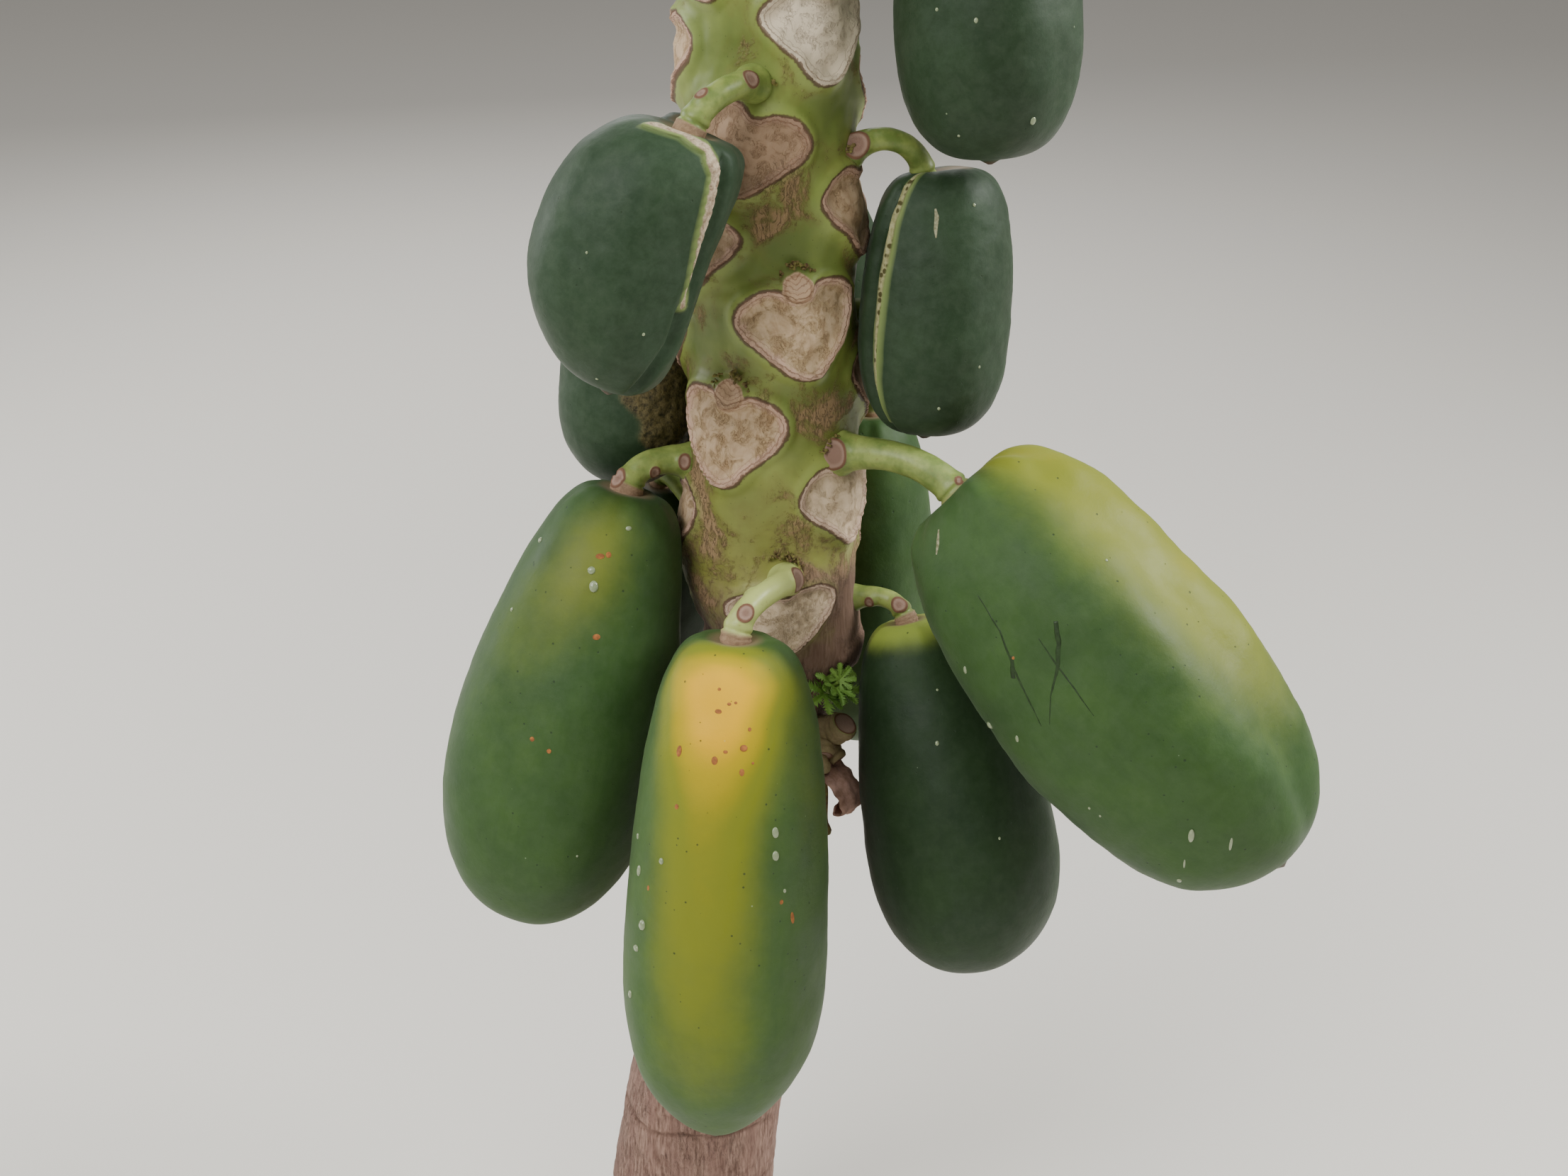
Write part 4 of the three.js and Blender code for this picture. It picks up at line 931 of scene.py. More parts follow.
def even_curve(controls, count):
    """Points spaced evenly along a Bezier curve, and the curve's length."""
    t = np.linspace(0, 1, 400)[:, None]
    order = len(controls) - 1
    dense = sum(math.comb(order, k) * (1 - t) ** (order - k) * t ** k * np.array(p, float)
                for k, p in enumerate(controls))
    way = np.concatenate([[0], np.cumsum(np.linalg.norm(np.diff(dense, axis=0), axis=1))])
    spots = np.linspace(0, way[-1], count)
    return np.stack([np.interp(spots, way, dense[:, k]) for k in range(3)], -1), way[-1]


def tube_frames(centres):
    """Two directions across the path at each of its points, which turn as little as they can."""
    tangents = np.gradient(centres, axis=0)
    tangents /= np.linalg.norm(tangents, axis=1)[:, None]
    first = np.cross(tangents[0], (0, 0, 1) if abs(tangents[0][2]) < 0.9 else (1, 0, 0))
    firsts = []
    for tangent in tangents:
        first = first - tangent * (first @ tangent)
        first = first / np.linalg.norm(first)
        firsts.append(first)
    firsts = np.array(firsts)
    return tangents, firsts, np.cross(tangents, firsts)


def stalk_mesh(fruit):
    """The stalk of a fruit, from under the bark to just under the fruit's skin."""
    direction = leaf_direction(fruit["leaf"])
    rise = fruit.get("rise", AXIL_RISE)
    foot = trunk_point(direction, leaf_height(fruit["leaf"]) + rise, -6)
    top, axis = fruit_frame(fruit)[:2]
    axis = axis / np.linalg.norm(axis)
    end = top + fruit.get("aside", (0, 0, 0))
    reach = np.linalg.norm(end - foot)
    bend = foot + 0.45 * reach * outward(direction) + np.array([0, 0, fruit.get("lift", 0.12) * reach])
    centres, length = even_curve([foot, bend, end - 0.35 * reach * axis, end + 5 * axis], STALK_ROWS)
    _, across, other = tube_frames(centres)
    sides = 36 if fruit["radius"] > 35 else 20
    share = np.linspace(0, 1, STALK_ROWS)[:, None]
    turn = 2 * np.pi * np.arange(sides)[None] / sides
    out = across[:, None] * np.cos(turn)[..., None] + other[:, None] * np.sin(turn)[..., None]
    thick = stalk_thickness(fruit)
    radius = thick * (1.1 - 0.15 * np.sin(np.pi * share)) + 0 * turn
    way = share * length
    radius = radius + 0.42 * thick * np.exp(-np.maximum(0, way - 6) / 6)
    end = length - way
    corky = smooth(6.6, 5.6, end) + 0 * turn
    radius = radius + smooth(7.0, 5.8, end) * (0.12 * thick + 0.3 * np.sin(end * 3.4))
    radius = radius - 0.5 * np.exp(-((end - 7.4) / 0.6) ** 2) + 0.7 * np.exp(-((end - 9.8) / 2) ** 2)
    middle = centres[:, None] + 0 * out
    radius = radius + 0.25 * rough(middle + out * 8, 9, 2, fruit["leaf"] % 17)
    cut = np.full(radius.shape, 30.0)
    for spot, facing, size in STALK_SCARS.get(fruit["name"], []):
        facing = np.array(facing, float)
        row = int(spot * (STALK_ROWS - 1))
        flat = math.atan2(facing @ other[row], facing @ across[row])
        gap = np.arctan2(np.sin(turn - flat), np.cos(turn - flat)) * thick
        cut = np.minimum(cut, np.hypot(gap, way - spot * length) - size)
    radius = radius + 1.2 * smooth(2.6, -1.2, cut) - 0.8 * smooth(-1.0, -2.6, cut)
    points = centres[:, None] + out * radius[..., None]
    values = {"cut": cut.ravel(), "corky": corky.ravel(),
              "pale": np.full(cut.size, 1.0 if fruit["name"] == "fruit_front" else 0.0)}
    return points.reshape(-1, 3), tube_faces(STALK_ROWS, sides), values


def join_meshes(parts):
    """Points, faces and values of several meshes as one, their face numbers moved on."""
    points, faces, values, first = [], [], {}, 0
    for part_points, part_faces, part_values in parts:
        points.append(part_points)
        faces += [[corner + first for corner in face] for face in part_faces]
        for label, data in part_values.items():
            values.setdefault(label, []).append(data)
        first += len(part_points)
    return np.concatenate(points), faces, {k: np.concatenate(v) for k, v in values.items()}


stalk_parts = [stalk_mesh(fruit) for fruit in MAIN_FRUIT + REAR_FRUIT]
points, faces, values = join_meshes(stalk_parts)
stalks = make_piece("fruit_stalks", points, faces, stalk_green, values)
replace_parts(stalks, *[fruit["name"] for fruit in MAIN_FRUIT + REAR_FRUIT])

# Young fruit: smaller with each step up the spiral, all on short stalks close to the stem.
YOUNG_FIRST = -14
YOUNG_LONGEST = 122
YOUNG_SHORTEST = 46
YOUNG_SLIMNESS = 0.28
YOUNG_GRID = (44, 40)

young_fruit = []
young_count = YOUNG_FIRST - LAST_FALLEN
for k in range(young_count + 1):
    leaf = YOUNG_FIRST - k
    length = YOUNG_LONGEST + (YOUNG_SHORTEST - YOUNG_LONGEST) * k / young_count
    out = outward(leaf_direction(leaf))
    axil = trunk_point(leaf_direction(leaf), leaf_height(leaf) + AXIL_RISE)
    top = axil + out * (12 + 0.75 * YOUNG_SLIMNESS * length) - np.array([0, 0, 12])
    tip = top + out * 0.24 * length - np.array([0, 0, 0.97 * length])
    young_fruit.append({"name": "fruit_upper_" + str(k + 1), "leaf": leaf, "top": tuple(top),
                        "tip": tuple(tip), "radius": YOUNG_SLIMNESS * length})
young_skin = skin_material("papaya_skin_young", "#577f3d", "#446a33", "#8a9c36", 0.14)
young_names = [fruit["name"] for fruit in young_fruit]
points, faces, values = join_meshes([fruit_mesh(fruit, *YOUNG_GRID) for fruit in young_fruit])
young = make_piece("young_fruit", points, faces, young_skin, values)
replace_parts(young, *young_names)
points, faces, values = join_meshes([stalk_mesh(fruit) for fruit in young_fruit])
young_stalks = make_piece("young_stalks", points, faces, stalk_green, values)
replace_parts(young_stalks, *young_names)

# Petioles: long hollow leaf stalks, pale green and smooth, that widen to a clasping foot on
# the stem. The old ones stand out and the young ones stand up round the growing tip.
PETIOLE_LONGEST = 640
PETIOLE_SHORTEST = 170
PETIOLE_FOOT = 11
PETIOLE_TOP = 7
PETIOLE_ROWS = 26
LOBE_LONGEST = 300
LOBE_SHORTEST = 80
LOWEST_RISE = 14
STEEPEST_RISE = 80
BLADE_SEAT = 5.4  # the blade lies this far over the end of its petiole
FIRST_GREEN = LAST_FALLEN - 1
LOWER_LEAVES = 10


def thicken(piece, depth):
    """Gives a thin piece its thickness in m."""
    piece.modifiers.new("thickness", "SOLIDIFY").thickness = depth


def weld(piece, gap):
    """Joins the corners of a piece that lie closer than that, in m."""
    sheet = bmesh.new()
    sheet.from_mesh(piece.data)
    bmesh.ops.remove_doubles(sheet, verts=sheet.verts, dist=gap)
    sheet.to_mesh(piece.data)
    sheet.free()


def group_inputs(tree, sockets):
    """Gives a node tree its named inputs and one geometry output; returns the input node."""
    for name, kind in sockets:
        tree.interface.new_socket(name, in_out="INPUT", socket_type=kind)
    tree.interface.new_socket("Geometry", in_out="OUTPUT", socket_type="NodeSocketGeometry")
    return tree.nodes.new("NodeGroupInput").outputs


def run_tree(name, mesh, tree, choices):
    """Runs a node tree on a mesh and keeps the result as a plain piece of the tree."""
    piece = bpy.data.objects.new(name, mesh)
    modifier = piece.modifiers.new("made_by_rule", "NODES")
    modifier.node_group = tree
    for socket in tree.interface.items_tree:
        if socket.in_out == "INPUT" and socket.name in choices:
            modifier[socket.identifier] = choices[socket.name]
    bpy.context.scene.collection.objects.link(piece)
    bpy.context.view_layer.update()
    graph = bpy.context.evaluated_depsgraph_get()
    made = bpy.data.meshes.new_from_object(piece.evaluated_get(graph))
    piece.modifiers.clear()
    piece.data = made
    made.name = name
    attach(piece, "root")
    return piece


# A round stem swept along each line of the mesh, as thick as the line's "girth" says.
sweep = bpy.data.node_groups.new("stem_sweep", "GeometryNodeTree")
given = group_inputs(sweep, [
    ("Lines", "NodeSocketGeometry"), ("Sides", "NodeSocketInt"), ("Bark", "NodeSocketMaterial")])
paths = add_node(sweep, "GeometryNodeMeshToCurve", {"Mesh": given["Lines"]})
girth = add_node(sweep, "GeometryNodeInputNamedAttribute", {"Name": "girth"}, data_type="FLOAT")
hoop = add_node(sweep, "GeometryNodeCurvePrimitiveCircle", {
    "Resolution": given["Sides"], "Radius": 1.0})
swept = add_node(sweep, "GeometryNodeCurveToMesh", {
    "Curve": paths, "Profile Curve": hoop, "Scale": girth.outputs[0], "Fill Caps": True})
rounded = add_node(sweep, "GeometryNodeSetShadeSmooth", {"Geometry": swept})
real = add_node(sweep, "GeometryNodeRealizeInstances", {"Geometry": rounded})
coated = add_node(sweep, "GeometryNodeSetMaterial", {"Geometry": real, "Material": given["Bark"]})
add_node(sweep, "NodeGroupOutput", {"Geometry": coated})


def line_mesh(name, lines):
    """A mesh of open lines, each given as its points in mm and its girth at each of them."""
    points, edges, girths = [], [], []
    for line, width in lines:
        first = len(points)
        points += (np.asarray(line) * MM).tolist()
        edges += [(first + k, first + k + 1) for k in range(len(line) - 1)]
        girths += (np.asarray(width) * MM).tolist()
    mesh = bpy.data.meshes.new(name)
    mesh.from_pydata(points, edges, [])
    mesh.attributes.new("girth", "FLOAT", "POINT").data.foreach_set("value", girths)
    return mesh


def plain_material(name, fresh, deep, size, dullness, grain=0.3, stretch=1.0):
    """A living or dry surface of two tones in blots of that size in mm, with fine relief."""
    material, tree = new_material(name)
    place = add_node(tree, "ShaderNodeTexCoord").outputs["Object"]
    drawn = add_node(tree, "ShaderNodeMapping", {"Vector": place, "Scale": (1, 1, stretch)})
    blots = add_node(tree, "ShaderNodeTexNoise", {
        "Vector": drawn, "Scale": 1000 / size, "Detail": 5, "Roughness": 0.6})
    blot = add_node(tree, "ShaderNodeMapRange", {
        "Value": blots, "From Min": 0.36, "From Max": 0.64})
    hue = add_node(tree, "ShaderNodeMix", {
        "Factor": blot, "A": colour(deep), "B": colour(fresh)}, data_type="RGBA")
    fine = add_node(tree, "ShaderNodeTexNoise", {
        "Vector": drawn, "Scale": 6000 / size, "Detail": 3})
    bump = add_node(tree, "ShaderNodeBump", {
        "Height": fine, "Distance": 0.0006, "Strength": grain})
    dull = add_node(tree, "ShaderNodeMapRange", {
        "Value": blot, "To Min": dullness, "To Max": dullness + 0.12})
    shader = add_node(tree, "ShaderNodeBsdfPrincipled", {
        "Base Color": hue, "Roughness": dull, "Normal": bump, "IOR": 1.42})
    add_node(tree, "ShaderNodeOutputMaterial", {"Surface": shader})
    return material


def raised(out, degrees):
    """The way out, turned up by that many degrees."""
    return out * math.cos(math.radians(degrees)) + up * math.sin(math.radians(degrees))


up = np.array([0, 0, 1.0])
petiole_green = plain_material("papaya_petiole", "#93a95c", "#768f45", 14, 0.42, 0.15, 0.15)
leaf_rules = []
leaf_total = FIRST_GREEN - YOUNGEST_LEAF + 1
for k in range(leaf_total):
    leaf = FIRST_GREEN - k
    share = k / (leaf_total - 1)
    youth = max(0, (share - 0.5) / 0.5) ** 1.5
    petiole = PETIOLE_LONGEST + (PETIOLE_SHORTEST - PETIOLE_LONGEST) * youth
    lobe = LOBE_LONGEST + (LOBE_SHORTEST - LOBE_LONGEST) * youth
    rise = LOWEST_RISE + (STEEPEST_RISE - LOWEST_RISE) * share
    out = outward(leaf_direction(leaf))
    foot = trunk_point(leaf_direction(leaf), leaf_height(leaf), -8)
    bend = foot + raised(out, rise + 7) * 0.5 * petiole
    junction = bend + raised(out, rise - 7) * 0.5 * petiole
    tilt = 30 - 0.25 * rise
    leaf_rules.append({
        "name": "leaf_" + str(k + 1).zfill(2), "controls": [foot, bend, junction],
        "girth": 1 - 0.4 * youth, "lobe": lobe, "forward": raised(out, -tilt),
        "normal": raised(out, 90 - tilt), "seat": junction + raised(out, 90 - tilt) * BLADE_SEAT,
        "youth": youth})
lines = []
for rule in leaf_rules:
    centres, length = even_curve(rule["controls"], PETIOLE_ROWS)
    share = np.linspace(0, 1, PETIOLE_ROWS)
    width = (PETIOLE_FOOT + (PETIOLE_TOP - PETIOLE_FOOT) * share) * rule["girth"]
    width = width * (1 + 0.75 * np.exp(-share * length / 16)) + 1.5 * np.exp((share - 1) * length / 6)
    lines.append((centres, width))
petioles = run_tree("petioles", line_mesh("petioles", lines), sweep,
                    {"Sides": 14, "Bark": petiole_green})
leaf_names = [rule["name"] for rule in leaf_rules]
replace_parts(petioles, *leaf_names)

# Leaf blades: thin, with seven pointed main lobes that are cut again into side lobes. A pale
# raised rib runs down each lobe, and a thinner one into each side lobe.
LOBE_ANGLES = [-128, -84, -42, 0, 42, 84, 128]
LOBE_SHARES = [0.58, 0.8, 0.95, 1, 0.95, 0.8, 0.58]
SINUS = 0.25
SAG = 0.16
SIDE_LOBES = [0.14, 0.33, 0.52, 0.69, 0.83, 0.93]  # their tips, as shares of the free lobe
BLADE_THICKNESS = 0.0009
BLADE_COLUMNS = 7


def lobe_rows():
    """Rows across a free lobe: share along it, and how far a side lobe has grown there."""
    rows, start = [], 0.0
    for tip in SIDE_LOBES:
        rows += [(start + (tip - start) * u, 0.36 + 0.64 * u ** 1.4) for u in (0.35, 0.7, 1)]
        rows.append((tip + 0.018, 0.36))
        start = tip + 0.018
    return rows + [(1.0, 0.0)]


def leaf_blade(seed):
    """One blade for a lobe length of 1: points, faces, and the lines of its ribs."""
    rng = np.random.default_rng(seed)
    points, faces, ribs = [], [], []
    count = len(LOBE_ANGLES)
    for k, (angle, size) in enumerate(zip(LOBE_ANGLES, LOBE_SHARES)):
        turn = math.radians(angle)
        ahead = np.array([math.cos(turn), math.sin(turn)])
        aside = np.array([-math.sin(turn), math.cos(turn)])
        droop, wave = rng.uniform(0.05, 0.3), rng.uniform(0, 6)
        halves = []
        for hand in (-1, 1):
            beyond = k + hand
            if 0 <= beyond < count:
                halves.append((math.radians(abs(LOBE_ANGLES[beyond] - angle)) / 2, SINUS))
            else:
                halves.append((math.radians(30), 0.4 * SINUS))
        rows = []
        for r in np.linspace(0, SINUS * math.cos(math.radians(21)), 8):
            sides = []
            for half, sinus in halves:
                reach = sinus * math.cos(half)
                free = max(0.0, (r - reach) / 0.12)
                sides.append((min(r, reach) * math.tan(half) * (1 - 0.12 * min(free, 1)), 0.0))
            rows.append((r, sides))
        start = rows[-1][0]
        for share, grown in lobe_rows():
            r = start + (size - start) * share
            body = 0.075 + 0.155 * math.sin(math.pi * min(1, share * 0.97 + 0.02) ** 0.8)
            width = size ** 0.4 * body * grown
            if share > 0.9:
                width = min(width, 0.9 * (1 - share) + 0.004)
            rows.append((r, [(width, 0.62 * min(1, share / 0.12))] * 2))
        first = len(points)
        for r, sides in rows:
            across = [-sides[0][0] * f for f in (1, 0.66, 0.33)] + [0]
            across += [sides[1][0] * f for f in (0.33, 0.66, 1)]
            for step, lateral in enumerate(across):
                lean = sides[0 if step < 3 else 1][1] * abs(lateral)
                flat = ahead * (r + lean) + aside * lateral
                edge = abs(step - 3) / 3
                free = max(0.0, r - SINUS)
                height = -SAG * (flat @ flat) + 0.24 * abs(lateral) - droop * free ** 2
                height += 0.022 * edge ** 2 * math.sin(16 * r + wave + step) * min(1, free / 0.1)
                points.append((flat[0], flat[1], height))
        for row in range(len(rows) - 1):
            for step in range(BLADE_COLUMNS - 1):
                a = first + row * BLADE_COLUMNS + step
                faces.append((a, a + BLADE_COLUMNS, a + BLADE_COLUMNS + 1, a + 1))
        middle = [first + row * BLADE_COLUMNS + 3 for row in range(len(rows))]
        ribs.append((middle[1:], 0.0088 * size, 0.0014))
        for tooth in range(len(SIDE_LOBES) - 1):
            row = first + (8 + 4 * tooth + 2) * BLADE_COLUMNS
            for steps in ((3, 2, 1, 0), (3, 4, 5, 6)):
                ribs.append(([row + step for step in steps], 0.0034, 0.0010))
    return np.array(points), faces, ribs


def placed(points, rule, size):
    """Points of a blade moved to the end of its petiole."""
    side = np.cross(rule["normal"], rule["forward"])
    turned = points @ np.array([rule["forward"], side, rule["normal"]])
    return rule["seat"] + turned * size


blades = [leaf_blade(seed) for seed in (3, 5, 8)]
LEAF_GREENS = [("papaya_leaf_old", "#6d8a34", "#587a2e"), ("papaya_leaf", "#4c7730", "#3a6427"),
               ("papaya_leaf_young", "#7a9c42", "#638a38")]
leaf_greens = [plain_material(name, fresh, deep, 30, 0.48, 0.35) for name, fresh, deep in LEAF_GREENS]
rib_pale = plain_material("papaya_leaf_rib", "#a9b96c", "#93a758", 12, 0.45, 0.1)
rib_lines = []
for label, low, high in (("lower", 0, LOWER_LEAVES), ("upper", LOWER_LEAVES, leaf_total)):
    points, faces, greens = [], [], []
    for number, rule in enumerate(leaf_rules[low:high], low):
        shape, quads, ribs = blades[number % 3]
        shape = placed(shape, rule, rule["lobe"])
        first = sum(len(part) for part in points)
        points.append(shape)
        faces += [tuple(corner + first for corner in quad) for quad in quads]
        greens += [0 if number < 2 else 2 if rule["youth"] > 0.25 else 1] * len(quads)
        for path, thick, thin in ribs:
            width = np.linspace(thick, thin, len(path)) * rule["lobe"]
            rib_lines.append((shape[path] - rule["normal"] * 0.25 * thick * rule["lobe"], width))
    piece = make_piece("leaf_blades_" + label, np.concatenate(points), faces, leaf_greens[0])
    for green in leaf_greens[1:]:
        piece.data.materials.append(green)
    piece.data.polygons.foreach_set("material_index", greens)
    weld(piece, 0.00012)
    thicken(piece, BLADE_THICKNESS)
    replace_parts(piece, *leaf_names[low:high])
leaf_ribs = run_tree("leaf_ribs", line_mesh("leaf_ribs", rib_lines), sweep,
                     {"Sides": 5, "Bark": rib_pale})
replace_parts(leaf_ribs, *leaf_names)

# Growing tip: the youngest leaves stand folded in a spear round the end of the stem, and a
# few more of the same kind, no longer than a thumb, make the side shoot low on the old stem.

# Each whorl: the shoot's length and half thickness, how many leaves it has, the length of the
# first leaf's stem and of its longest lobe, and how far that leaf leans out, in radians.
TIP = {"length": 95, "core": 9.5, "count": 9, "stem": 70, "blade": 52, "lean": 0.5}
SHOOT = {"length": 22, "core": 3, "count": 6, "stem": 8, "blade": 19, "lean": 1.0}
SHOOT_DIRECTION = 46
SHOOT_HEIGHT = 490
SMALL_BLADE_THICKNESS = 0.0004


def shoot_pieces(name, foot, axis, length, core, count, stem, blade, lean):
    """A short shoot with its whorl of small leaves: one piece of stems and one of blades."""
    axis = axis / np.linalg.norm(axis)
    first = np.cross(axis, (1, 0, 0))
    first /= np.linalg.norm(first)
    second = np.cross(axis, first)
    share = np.linspace(0, 1, 8)
    lines = [(foot + axis * length * share[:, None], core * (1 - 0.7 * share))]
    points, faces = [], []
    for j in range(count):
        turn = math.radians(LEAF_STEP * j)
        aside = first * math.cos(turn) + second * math.sin(turn)
        angle = lean * (1 - 0.55 * j / count)
        way = axis * math.cos(angle) + aside * math.sin(angle)
        base = foot + axis * length * (0.25 + 0.7 * j / count)
        size = 1 - 0.5 * j / count
        end = base + way * stem * size
        bend = base + (way + axis * 0.5) * stem * 0.5 * size
        centres, _ = even_curve([base, bend, end], 6)
        lines.append((centres, np.linspace(1, 0.7, 6) * core * 0.3 * size))
        opened = angle + 0.45
        rule = {"seat": end, "forward": axis * math.cos(opened) + aside * math.sin(opened),
                "normal": axis * math.sin(opened) - aside * math.cos(opened)}
        shape, quads, _ = blades[j % 3]
        shape = shape + np.abs(shape[:, 1:2]) * [0, 0, 0.5]
        start = len(points) * len(shape)
        points.append(placed(shape, rule, blade * size))
        faces += [tuple(corner + start for corner in quad) for quad in quads]
    stems = run_tree(name + "_stems", line_mesh(name + "_stems", lines), sweep,
                     {"Sides": 8, "Bark": petiole_green})
    leaves = make_piece(name + "_leaves", np.concatenate(points), faces, leaf_greens[2])
    weld(leaves, 0.00004)
    thicken(leaves, SMALL_BLADE_THICKNESS)
    return stems, leaves


tip_foot = np.array([float(along(1, TRUNK_TIP)), 0, TRUNK_TIP - 8])
for piece in shoot_pieces("tip", tip_foot, up, **TIP):
    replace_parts(piece, "growing_tip")
shoot_way = outward(math.radians(SHOOT_DIRECTION))
shoot_foot = trunk_point(math.radians(SHOOT_DIRECTION), SHOOT_HEIGHT, -4)
for piece in shoot_pieces("side_shoot", shoot_foot, shoot_way + up, **SHOOT):
    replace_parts(piece, "side_sprout")

# Old stub: what is left of a stalk that was cut long ago. It swelled into corky rings, with
# round cut faces, over a dry curled bract and the thread of a flower stalk that dried up.
STUB_DIRECTION = 52
STUB_HEIGHT = 466
STUB_LENGTH = 29
STUB_RADIUS = 8.6
BRACT_HEIGHT = 446
BRACT_LENGTH = 62
BRACT_WIDTH = 25
BRACT_THICKNESS = 0.0011


def cut_stub(controls, radius, rings):
    """A ringed stub along a curve, which ends in a flat cut face with a rolled edge."""
    steps, sides = 34, 28
    centres, _ = even_curve(controls, steps)
    tangents, across, other = tube_frames(centres)
    share = np.linspace(0, 1, steps)
    width = radius * (1 + 0.14 * np.abs(np.sin(rings * np.pi * share)) - 0.05)
    path = [(centre, wide, 30.0) for centre, wide in zip(centres, width)]
    end = centres[-1]
    for inset, lift in ((0.94, 0.5), (0.85, 0.8), (0.72, 0.4), (0.5, 0.1), (0.25, 0.0), (0.03, 0)):
        depth = max((inset - 1) * radius + 0.4, -1.9)
        path.append((end + tangents[-1] * lift, inset * width[-1], depth))
    turn = 2 * np.pi * np.arange(sides) / sides
    index = np.minimum(np.arange(len(path)), steps - 1)
    out = (across[index][:, None] * np.cos(turn)[None, :, None]
           + other[index][:, None] * np.sin(turn)[None, :, None])
    middle = np.array([row[0] for row in path])[:, None]
    wide = np.array([row[1] for row in path])[:, None]
    wide = wide * (1 + 0.05 * rough(middle + out * radius, 7, 3, int(rings)))
    cut = np.repeat([row[2] for row in path], sides)
    values = {"cut": cut, "corky": np.full(cut.size, 0.75) * (cut > 0), "pale": 0.0 * cut}
    return (middle + out * wide[..., None]).reshape(-1, 3), tube_faces(len(path), sides), values


out = outward(math.radians(STUB_DIRECTION))
right = np.cross(up, out)
foot = trunk_point(math.radians(STUB_DIRECTION), STUB_HEIGHT, -6)
bend = foot + out * 0.6 * STUB_LENGTH
end = bend + out * 0.25 * STUB_LENGTH + up * 0.35 * STUB_LENGTH
knob = foot + out * 10 - up * 3
left_end = knob - right * 11 - up * 6 + out * 7
stub_parts = [
    cut_stub([foot, bend, end], STUB_RADIUS, 5),
    cut_stub([knob, knob - right * 6 - up * 1 + out * 3, left_end], 6.6, 4),
    cut_stub([left_end - out * 4, left_end - up * 5, left_end - up * 11 + right * 2], 3.6, 2),
    cut_stub([knob, knob + right * 1 - up * 5, knob + right * 1 - up * 13 + out * 10], 5.6, 4),
    cut_stub([foot, foot + right * 5 + out * 9, foot + right * 8 + out * 15 + up * 6], 6.2, 3),
]
points, faces, values = join_meshes(stub_parts)
stub = make_piece("old_stub", points, faces, stalk_green, values)
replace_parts(stub, "fruit_stub")

dry_paper = plain_material("dry_bract", "#cba394", "#94705f", 9, 0.8, 0.6)
foot = trunk_point(math.radians(STUB_DIRECTION), BRACT_HEIGHT, 0.5)
points = []
steps, columns = 34, 15
middle = foot
for k in range(steps + 1):
    turn = float(np.interp(k / steps, [0, 0.6, 0.8, 1], [0.0, 1.25, 2.9, 5.6]))
    ahead = out * math.cos(turn) - up * math.sin(turn)
    away = out * math.sin(turn) + up * math.cos(turn)
    width = BRACT_WIDTH * (1 - 0.2 * k / steps) * (1 + 0.04 * math.sin(1.3 * k))
    for j in range(columns):
        place = j / (columns - 1) - 0.5
        lift = 0.5 * math.cos(5 * math.pi * place) - 8 * place ** 2 + 0.4 * math.sin(k + 7 * place)
        points.append(middle + right * width * place + away * lift)
    middle = middle + ahead * BRACT_LENGTH / steps
faces = [(k * columns + j, (k + 1) * columns + j, (k + 1) * columns + j + 1, k * columns + j + 1)
         for k in range(steps) for j in range(columns - 1)]
bract = make_piece("dry_bract_curl", points, faces, dry_paper)
thicken(bract, BRACT_THICKNESS)
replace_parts(bract, "dry_bract")

# Threads: flower stalks that dried up, one long one under the bract, and short curls and buds
# in the axils over the leaf scars. They are grown on the bark, and as thick as twine.
CURLED_AXILS = (8, 3, 0, 6, 5, -5, -3, 7, -2, -8)
CURLS_IN_AXIL = 16
rng = np.random.default_rng(21)
lines = []
start = foot + out * 6 - right * 4 - up * 4
way = [start, start + out * 9 - up * 10, start + out * 2 - up * 26, start + out * 6 - up * 44]
centres, _ = even_curve(way, 18)
lines.append((centres, 1.1 + 1.9 * np.exp(-((np.linspace(0, 1, 18) - 0.93) / 0.08) ** 2)))
for leaf in CURLED_AXILS:
    shape = SCAR_SHAPES.get(leaf, (0, 0, 1, 1, 0))
    aside = shape[0] - 24 * math.tan(math.radians(shape[4]))
    spread = FALLEN_FRUIT.get(leaf, 9) + 2
    for curl in range(CURLS_IN_AXIL):
        across = rng.uniform(-spread, spread)
        height = leaf_height(leaf) + 24 + math.sqrt((spread + 1) ** 2 - across ** 2)
        height = height + rng.uniform(-1, 2.5)
        direction = leaf_direction(leaf) + (aside + across) / 50
        base = trunk_point(direction, height, 0)
        out_here = outward(direction)
        drift = np.cross(up, out_here) * rng.uniform(-2.5, 2.5)
        reach = rng.uniform(1.5, 4)
        centres, _ = even_curve([base, base + out_here * reach + drift,
                                 base + out_here * 0.8 * reach + drift - up * rng.uniform(-3, 3)], 8)
        taper = np.array([1, 0.8, 0.6, 0.6, 0.7, 1, 1.1, 0.5]) * rng.uniform(0.7, 1.5)
        lines.append((centres, taper))
thread_brown = plain_material("dried_flower_stalk", "#7d7a3e", "#573f2a", 4, 0.8, 0.4)
run_tree("dried_flower_stalks", line_mesh("dried_flower_stalks", lines), sweep,
         {"Sides": 6, "Bark": thread_brown})

# Latex and scabs: a scratched papaya weeps drops of milky latex, which dry white, and its old
# wounds heal as red-brown scabs. Both lie on the skin, and both are longer down than across.
BEAD_DETAIL = 3
DROP_HEIGHT = 0.62  # this and the next are shares of half the drop's or scab's shorter side
SCAB_HEIGHT = 0.22
